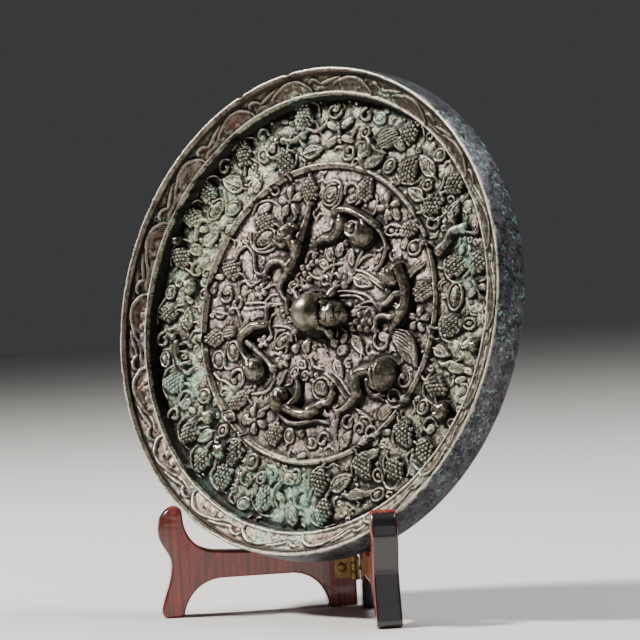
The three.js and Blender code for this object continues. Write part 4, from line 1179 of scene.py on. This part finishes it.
def bronze_material():
    n = Nodes("aged_bronze")
    lift, crest, green, lime, hollow, side, face, band, edge, olive, painted_light_from_left = (
        n.attribute(name) for name in ("lift", "crest", "green", "lime", "hollow", "side", "face", "band",
                                       "edge", "olive", "painted_light_from_left"))
    fine = n.noise(2200, 4, rough=0.7)
    patch = n.noise(220, 5, rough=0.65)
    broad = n.noise(38, 3)
    grit = n.noise(900, 4, rough=0.7)
    mottle = n.plus(n.times(patch, 0.5), n.times(grit, 0.5))

    # bare metal: a pinkish grey floor with painted glints; what stands higher is darker and smoother, its
    # tops lighter (rubbed, with a painted highlight), its crests worn and highlit
    floor = n.mix(n.ramp(mottle, 0.38, 0.6), n.mix(olive, (0.070, 0.050, 0.044), (0.036, 0.038, 0.026)),
                  n.mix(olive, (0.500, 0.395, 0.340), (0.370, 0.350, 0.250)))
    raised = n.mix(n.ramp(mottle, 0.36, 0.62), (0.020, 0.018, 0.013),
                   n.mix(olive, (0.150, 0.122, 0.094), (0.095, 0.092, 0.064)))
    rubbed = n.mix(n.ramp(n.noise(150, 4), 0.4, 0.62), (0.055, 0.052, 0.034), (0.330, 0.290, 0.235))
    raised = n.mix(n.attribute("knob"), raised, rubbed)
    body = n.mix(n.ramp(lift, 0.08, 0.42), floor, raised)
    # the tops of raised forms are lightened: rubbed metal, and a painted highlight
    rubbed_and_highlit_tops = n.times(n.ramp(n.attribute("top"), 0.5, 1.8), n.ramp(mottle, 0.35, 0.6))
    body = n.mix(rubbed_and_highlit_tops, body, (0.240, 0.208, 0.165))
    # painted glints: tiny bright specks on the lower surfaces, standing in for specular sparkle
    painted_glint = n.ramp(n.noise(1250, 2, rough=0.8), 0.58, 0.66)
    body = n.mix(n.times(painted_glint, n.ramp(lift, 0.9, 0.2)), body, (0.80, 0.71, 0.65))

    # the border is browner, with painted light on its left and painted shade on its right; then come painted
    # shade and dirt in the hollows, painted shade at the feet of the relief, worn crests with a painted
    # highlight, red earth and painted highlights on the edges
    # the band's brown, lighter towards the left: painted light
    rust_and_side_light = n.mix(n.ramp(patch, 0.3, 0.65), n.mix(painted_light_from_left, (0.026, 0.020, 0.013), (0.075, 0.058, 0.046)),
                 n.mix(painted_light_from_left, (0.140, 0.112, 0.080), (0.370, 0.300, 0.250)))
    body = n.mix(n.times(band, 0.9), body, rust_and_side_light)
    # painted shade and dirt: near black in the hollows and on the shaded walls
    dark = n.mix(n.ramp(hollow, 0.04, 0.55), body, (0.008, 0.007, 0.005))
    # painted shade: near black at the feet of the relief, where the surface lies lower than just around it
    dark = n.mix(n.ramp(crest, 0.0, -0.24), dark, (0.010, 0.008, 0.006))
    # worn crests with a painted highlight on them: lighter along the crests of the relief
    spots = n.mix_value(n.ramp(lift, 0.3, 0.8), n.ramp(mottle, 0.32, 0.58), n.ramp(mottle, 0.48, 0.68))
    crest_wear_and_highlight = n.times(n.ramp(crest, 0.2, 0.6), spots)
    crests_worn_and_highlit = n.mix(n.times(crest_wear_and_highlight, n.mix_value(band, 0.5, 0.6)), dark, (0.82, 0.72, 0.61))
    stained = n.times(n.times(n.attribute("stain"), n.ramp(crest, 0.25, -0.05)), n.ramp(patch, 0.3, 0.6))
    earth = n.mix(stained, crests_worn_and_highlit, (0.115, 0.046, 0.030))
    # painted highlights on the edges
    bright = n.mix(n.times(n.ramp(edge, 0.35, 1.0), n.ramp(patch, 0.2, 0.55)), earth, (0.78, 0.72, 0.64))
    # painted shade: the band is darkened towards its right side
    bright = n.mix(n.times(band, n.mix_value(painted_light_from_left, 0.45, 0.0)), bright, (0.022, 0.017, 0.012))

    # patina: turquoise in the floors, dark green to near black in the deepest hollows (dark patina and
    # painted shade), a yellow bloom on the crests
    grain = n.plus(n.times(fine, 0.7), n.times(n.noise(520, 6, rough=0.75), 1.5))
    flake = n.ramp(n.plus(n.times(fine, 0.5), n.times(grit, 0.5)), 0.4, 0.6)
    turquoise = n.mix(flake, (0.040, 0.115, 0.080), (0.66, 0.90, 0.72))
    bloom = n.mix(flake, (0.110, 0.125, 0.055), (0.84, 0.86, 0.60))
    yellow = n.ramp(n.plus(lime, n.times(n.ramp(crest, -0.1, 0.5), 0.35)), 0.3, 0.9)
    verdigris = n.mix(yellow, turquoise, bloom)
    on_top = n.mix(n.ramp(crest, 0.05, 0.5), (0.045, 0.085, 0.055), verdigris)
    verdigris = n.mix(n.ramp(lift, 0.3, 0.8), verdigris, on_top)
    verdigris = n.mix(n.ramp(hollow, 0.0, 0.5), verdigris, (0.008, 0.028, 0.018))
    amount = n.ramp(n.plus(n.times(green, 0.5), grain), 1.25, 1.45)
    back = n.mix(n.times(amount, 0.85), bright, verdigris)

    # the rim's outer wall, with a painted highlight along its top
    wall = n.mix(n.ramp(mottle, 0.4, 0.6), (0.016, 0.014, 0.018), (0.135, 0.118, 0.130))
    speck = n.times(n.ramp(n.noise(560, 7, rough=0.85), 0.54, 0.6), n.ramp(n.noise(60, 3), 0.4, 0.56))
    wall = n.mix(speck, wall, n.mix(n.ramp(fine, 0.35, 0.62), (0.045, 0.160, 0.170), (0.50, 0.76, 0.72)))
    # painted highlight along the top of the wall
    wall = n.mix(n.times(n.ramp(edge, 0.1, 0.9), n.ramp(mottle, 0.36, 0.56)), wall, (0.62, 0.57, 0.50))

    # the polished face, tarnished and partly crusted
    tarnish = n.plus(n.times(broad, 0.5), n.times(n.noise(120, 6, rough=0.7), 0.5))
    polished = n.mix(n.ramp(tarnish, 0.42, 0.6), (0.210, 0.185, 0.155), (0.085, 0.080, 0.062))
    crust = n.plus(n.times(n.noise(34, 3), 0.6), n.times(n.noise(330, 6, rough=0.75), 0.6))
    polished = n.mix(n.ramp(crust, 0.68, 0.76), polished,
                     n.mix(flake, (0.050, 0.115, 0.085), (0.260, 0.440, 0.350)))

    n.join(n.mix(face, n.mix(side, back, wall), polished), n.shader.inputs["Base Color"])
    n.join(n.mix_value(n.times(amount, n.ramp(side, 1, 0)), 0.85, 0.2), n.shader.inputs["Metallic"])
    dull = n.mix_value(amount, n.mix_value(n.ramp(fine, 0.3, 0.7), 0.34, 0.52), 0.72)
    n.join(n.mix_value(n.ramp(lift, 0.85, 1.0), dull, 0.27), n.shader.inputs["Roughness"])
    rough = n.plus(n.times(fine, 0.5), n.noise(700, 5, rough=0.75))
    n.bump(n.times(rough, n.mix_value(n.ramp(lift, 0.6, 1.0), 1.0, 0.35)), 0.75, 0.0003)
    return n.material


def wood_material():
    n = Nodes("red_hardwood")
    board = n.node("ShaderNodeAttribute", attribute_name="board").outputs["Vector"]
    turned = n.node("ShaderNodeMapping")
    turned.inputs["Rotation"].default_value = (0, 0, math.radians(34))
    turned.inputs["Scale"].default_value = (1.0, 0.045, 1.0)
    n.join(board, turned.inputs["Vector"])
    streak = n.noise(0.9, 5, turned.outputs[0], 0.5, 0.62)
    pore = n.noise(2.8, 3, turned.outputs[0], 0.2, 0.7)
    cloud = n.noise(0.06, 2, board)
    base = n.mix(n.ramp(streak, 0.34, 0.6), (0.070, 0.007, 0.004), (0.300, 0.022, 0.009))
    base = n.mix(n.times(n.ramp(cloud, 0.4, 0.7), 0.5), base, (0.140, 0.013, 0.007))
    base = n.mix(n.times(n.ramp(pore, 0.58, 0.72), 0.7), base, (0.012, 0.003, 0.003))
    base = n.mix(n.ramp(n.attribute("end"), 0.3, 0.9), base, (0.012, 0.008, 0.010))
    n.join(base, n.shader.inputs["Base Color"])
    n.shader.inputs["Roughness"].default_value = 0.25
    n.shader.inputs["Coat Weight"].default_value = 0.8
    n.shader.inputs["Coat Roughness"].default_value = 0.07
    n.bump(pore, 0.2, 0.00012)
    return n.material


def brass_material():
    n = Nodes("dull_brass")
    patch = n.noise(700, 4)
    base = n.mix(n.ramp(patch, 0.35, 0.7), (0.30, 0.20, 0.075), (0.17, 0.11, 0.045))
    n.join(base, n.shader.inputs["Base Color"])
    n.shader.inputs["Metallic"].default_value = 1.0
    n.join(n.mix_value(patch, 0.28, 0.5), n.shader.inputs["Roughness"])
    n.bump(n.noise(2600, 2), 0.2, 0.0001)
    return n.material


# ======================================================================================
# The stand
# ======================================================================================
def upright_front(z):
    """How far the upright reaches at height z: just clear of the mirror's polished face."""
    face = (RIM_HEIGHT + FACE_CROWN) / math.cos(LEAN)
    front = HINGE_Y - MIRROR_CENTRE.y
    behind = front - face + (MIRROR_CENTRE.z - z) * math.tan(LEAN)
    return (behind - GAP) / math.cos(HALF_OPENING)


def board_outline(steps=14):
    """The sawn outline, r along the table from the hinge corner and z up; curves are beziers."""
    back, reach = BOARD_BACK + TRIM, REACH - TRIM
    points = [(back, 0.0)]

    def line(*end):
        points.append(end)

    def curve(*control):
        corners = [points[-1], *control]
        degree = len(corners) - 1
        for k in range(1, steps + 1):
            t = k / steps
            weights = [math.comb(degree, i) * t ** i * (1 - t) ** (degree - i) for i in range(degree + 1)]
            points.append(tuple(sum(w * c[axis] for w, c in zip(weights, corners)) for axis in (0, 1)))

    line(REAR_FOOT, 0)
    curve((REAR_FOOT + 0.3, 6), (REAR_FOOT + 4.6, BEAM_UNDER), (REAR_FOOT + 13, BEAM_UNDER))
    line(FOOT_INNER - 14.5, BEAM_UNDER)
    curve((FOOT_INNER - 5.5, BEAM_UNDER), (FOOT_INNER - 1, 6), (FOOT_INNER, 0))
    line(reach - 2.2, 0)
    curve((reach, 0), (reach, 2.6))
    curve((reach - 1, 8), (reach - 4.1, 12), (reach - 4.1, 19))
    curve((reach - 4.1, 23), (reach, 25.5), (reach, 30.2))
    curve((reach, 34.5), (HOOK_INNER + 5.8, HOOK_TOP), (HOOK_INNER + 2.4, HOOK_TOP))
    curve((HOOK_INNER + 0.4, HOOK_TOP), (HOOK_INNER, HOOK_TOP - 1.5), (HOOK_INNER, HOOK_TOP - 3.6))
    curve((HOOK_INNER - 0.4, 26.5), (HOOK_INNER - 6, BEAM_TOP), (HOOK_INNER - 12, BEAM_TOP - 0.1))
    line(upright_front(REST_TOP) + 4, REST_TOP)
    line(upright_front(REST_TOP + 1.5) + 0.2, REST_TOP)
    line(upright_front(UPRIGHT_TOP - 5), UPRIGHT_TOP - 5)
    curve((upright_front(UPRIGHT_TOP), UPRIGHT_TOP), (10, UPRIGHT_TOP), (back + 5, UPRIGHT_TOP - 3))
    curve((back, UPRIGHT_TOP - 6), (back, UPRIGHT_TOP - 11))
    return points


def board_to_frame(side):
    """From a board's own frame (r, z, thickness outwards) to the row frame."""
    outward = Vector((side * math.cos(HALF_OPENING), math.sin(HALF_OPENING), 0))
    along = Vector((side * math.sin(HALF_OPENING), -math.cos(HALF_OPENING), 0))
    up = Vector((0, 0, 1))
    turn = Matrix((along, up, outward)).transposed().to_4x4()
    return Matrix.Translation((0, HINGE_Y * MM, 0)) @ turn @ Matrix.Scale(MM, 4)


def finished(name, shape, side, material, node):
    """Turns a bmesh drawn in a board's frame into a piece that replaces a CAD node."""
    if side:
        shape.transform(board_to_frame(side))
    else:
        shape.transform(Matrix.Translation((0, HINGE_Y * MM, 0)) @ Matrix.Scale(MM, 4))
    bmesh.ops.recalc_face_normals(shape, faces=shape.faces[:])
    piece = linked(name, mesh_of(name, shape))
    piece.data.materials.append(material)
    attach(piece, "root")
    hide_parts(node)
    return piece


def slab(outline, low, high):
    """A plate between two heights, from its outline."""
    shape = bmesh.new()
    face = shape.faces.new([shape.verts.new((x, y, low)) for x, y in outline])
    raised = bmesh.ops.extrude_face_region(shape, geom=[face])
    moved = [v for v in raised["geom"] if isinstance(v, bmesh.types.BMVert)]
    bmesh.ops.translate(shape, verts=moved, vec=(0, 0, high - low))
    return shape


def round_edges(shape, size, segments, angle=35):
    edges = [e for e in shape.edges if len(e.link_faces) == 2 and e.calc_face_angle(0) > math.radians(angle)]
    bmesh.ops.bevel(shape, geom=edges, offset=size, segments=segments, profile=0.5, affect="EDGES",
                    clamp_overlap=True)


ROUNDED = 4e-6      # faces smaller than this, in square metres, are the boards' rounded edges


def make_board(name, side, material):
    shape = slab(board_outline(), 0, BOARD)
    round_edges(shape, 0.75, 3, 50)
    shape.normal_update()
    own = [(v.co.copy(), v.normal.copy()) for v in shape.verts]
    bmesh.ops.triangulate(shape, faces=[f for f in shape.faces if len(f.verts) > 4])
    piece = finished(f"board_{name}", shape, side, material, f"stand_board_{name}")
    attribute = piece.data.attributes.new("board", "FLOAT_VECTOR", "POINT")
    shifted = [co + Vector((0, 0, 40 * (side + 1))) for co, _ in own]
    attribute.data.foreach_set("vector", np.array(shifted, np.float32).ravel())
    # the board's ends, its end grain at the front and the back edge, are made nearly black
    set_attribute(piece.data, "end", [1.0 if abs(normal.x) > 0.55 else 0.0 for _, normal in own])
    piece.data.polygons.foreach_set("use_smooth", [p.area < ROUNDED for p in piece.data.polygons])
    return piece


def lathe(profile, sides, at=(0, 0)):
    """A turned shape about the z axis at a place; its profile starts and ends on the axis, or closes."""
    shape = bmesh.new()
    rings = []
    for r, z in profile:
        if r < 1e-6:
            rings.append([shape.verts.new((at[0], at[1], z))])
            continue
        turns = [2 * math.pi * k / sides for k in range(sides)]
        rings.append([shape.verts.new((at[0] + r * math.cos(a), at[1] + r * math.sin(a), z)) for a in turns])
    for lower, upper in zip(rings, rings[1:] + ([rings[0]] if len(rings[0]) > 1 else [])):
        for k in range(sides):
            corners = list(dict.fromkeys((lower[k % len(lower)], lower[(k + 1) % len(lower)],
                                          upper[(k + 1) % len(upper)], upper[k % len(upper)])))
            if len(corners) > 2:
                shape.faces.new(corners)
    return shape


def absorb(shape, other):
    """Adds another bmesh's faces to shape."""
    mesh = mesh_of("part", other)
    shape.from_mesh(mesh)
    bpy.data.meshes.remove(mesh)


BARREL_AHEAD = (BARREL + GAP) / math.sin(HALF_OPENING)
KNUCKLE = (HINGE_LENGTH - 2 * GAP) / 3
SCREW_R = (LEAF_NEAR + LEAF_FAR) / 2
SCREW_Z = HINGE_FOOT + HINGE_LENGTH / 2


def leaf_plate():
    """The flat of a hinge leaf with rounded far corners, and a round hole for its screw."""
    low, high = HINGE_FOOT + 0.8, HINGE_FOOT + HINGE_LENGTH - 0.8
    near, far, bend = LEAF_NEAR - 1.2, LEAF_FAR, 0.9
    turns = np.linspace(0.3, 1.3, 4)
    outline = [(near, low), (far - bend, low)]
    outline += [(far - bend + bend * math.sin(a), low + bend - bend * math.cos(a)) for a in turns]
    outline += [(far, low + bend), (far, high - bend)]
    outline += [(far - bend + bend * math.cos(a), high - bend + bend * math.sin(a)) for a in turns]
    outline += [(far - bend, high), (near, high)]
    shape = slab(outline, -GAP - LEAF, -GAP)
    hole = lathe([(0, -3), (SCREW_HEAD + 0.15, -3), (SCREW_HEAD + 0.15, 3), (0, 3)], 28, (SCREW_R, SCREW_Z))
    return cut(shape, hole)


def cut(shape, tool):
    """The boolean difference of two bmeshes."""
    pieces = []
    for solid in (shape, tool):
        bmesh.ops.recalc_face_normals(solid, faces=solid.faces[:])
        pieces.append(linked("cut", mesh_of("cut", solid)))
    subtract(*pieces, "EXACT")
    out = bmesh.new()
    out.from_mesh(pieces[0].data)
    for piece in pieces:
        bpy.data.objects.remove(piece)
    return out


def make_hinge(material):
    for name, side in (("left", -1), ("right", 1)):
        plate = leaf_plate()
        plate.transform(board_to_frame(side))
        plate.transform(Matrix.Scale(1 / MM, 4) @ Matrix.Translation((0, -HINGE_Y * MM, 0)))
        for k in ([1] if side > 0 else [0, 2]):
            foot = HINGE_FOOT + k * (KNUCKLE + GAP)
            head, inner, outer, chamfer = foot + KNUCKLE, PIN + 0.12, BARREL, 0.15
            tube = lathe([(inner, foot), (outer - chamfer, foot), (outer, foot + chamfer),
                          (outer, head - chamfer), (outer - chamfer, head), (inner, head)],
                         32, (0, -BARREL_AHEAD))
            absorb(plate, tube)
        piece = finished(f"leaf_{name}", plate, 0, material, f"hinge_leaf_{name}")
        piece.data.polygons.foreach_set("use_smooth", [False] * len(piece.data.polygons))
        flush = GAP + LEAF
        screw = lathe([(0, -5), (0.4, -4.8), (0.75, -4), (0.75, GAP), (SCREW_HEAD, flush - 0.15),
                       (SCREW_HEAD * 0.97, flush), (SCREW_HEAD * 0.6, flush + 0.2), (0, flush + 0.27)], 32)
        slot = bmesh.new()
        bmesh.ops.create_cube(slot, size=1)
        slot.transform(Matrix.Translation((0, 0, flush + 0.25)) @ Matrix.Rotation(0.5 * side, 4, "Z")
                       @ Matrix.Diagonal((4, 0.42, 0.9, 1)))
        screw = cut(screw, slot)
        screw.transform(Matrix.Translation((SCREW_R, SCREW_Z, 0)) @ Matrix.Diagonal((1, 1, -1, 1)))
        finished(f"screw_{name}", screw, side, material, f"hinge_screw_{name}")
    top, foot = HINGE_FOOT + HINGE_LENGTH + 0.3, HINGE_FOOT - 0.3
    pin = lathe([(0, foot), (PIN * 0.7, foot), (PIN, foot + 0.12), (PIN, top - 0.12), (PIN * 0.7, top),
                 (0, top)], 24, (0, -BARREL_AHEAD))
    finished("pin", pin, 0, material, "hinge_pin")


# ======================================================================================
# Light, floor and camera
# ======================================================================================
def look(obj, at, roll=0.0):
    forward = (Vector(at) - obj.location).normalized()
    turn = forward.to_track_quat("-Z", "Y").to_matrix().to_4x4()
    obj.matrix_world = Matrix.Translation(obj.location) @ turn @ Matrix.Rotation(roll, 4, "Z")


def area_light(name, place, at, size, power, tint=(1, 1, 1)):
    data = bpy.data.lights.new(name, "AREA")
    data.shape = "DISK"
    data.size = size
    data.energy = power
    data.color = tint
    lamp = linked(name, data)
    lamp.location = place
    look(lamp, at)


def make_studio():
    shape = bmesh.new()
    bmesh.ops.create_circle(shape, cap_ends=True, radius=4, segments=96)
    floor = linked("floor", mesh_of("floor", shape))
    n = Nodes("pale_floor")
    n.join(n.mix(n.noise(6, 2), (0.60, 0.59, 0.57), (0.63, 0.62, 0.60)), n.shader.inputs["Base Color"])
    n.shader.inputs["Roughness"].default_value = 0.7
    floor.data.materials.append(n.material)

    world = bpy.data.worlds.new("studio")
    world.use_nodes = True
    sky = world.node_tree.nodes["Background"].inputs
    sky["Color"].default_value = (0.80, 0.81, 0.83, 1)
    sky["Strength"].default_value = 0.06
    bpy.context.scene.world = world
    middle = (0, 0, 0.1)
    area_light("key", (-0.90, -0.54, 1.08), middle, 0.22, 52, (1.0, 0.97, 0.93))
    area_light("fill", (0.9, -0.9, 0.5), middle, 0.9, 1.2)
    area_light("top", (0.42, 0.34, 1.15), middle, 0.5, 16, (0.95, 0.98, 1.0))


CAMERA_PLACE = (0.6250, -0.7383, 0.1187)
CAMERA_TARGET = (0.0, 0.0091, 0.1013)
CAMERA_ROLL = math.radians(-3.2)
CAMERA_LENS = 157.5


def make_camera():
    data = bpy.data.cameras.new("camera")
    data.lens = CAMERA_LENS
    data.sensor_width = 36
    camera = linked("camera", data)
    camera.location = CAMERA_PLACE
    look(camera, CAMERA_TARGET, CAMERA_ROLL)
    bpy.context.scene.camera = camera


make_camera()
mirror = make_mirror()
mirror.data.materials.clear()
mirror.data.materials.append(bronze_material())
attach(mirror, "root")
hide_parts("bronze_mirror")

wood = wood_material()
make_board("left", -1, wood)
make_board("right", 1, wood)
make_hinge(brass_material())
make_studio()
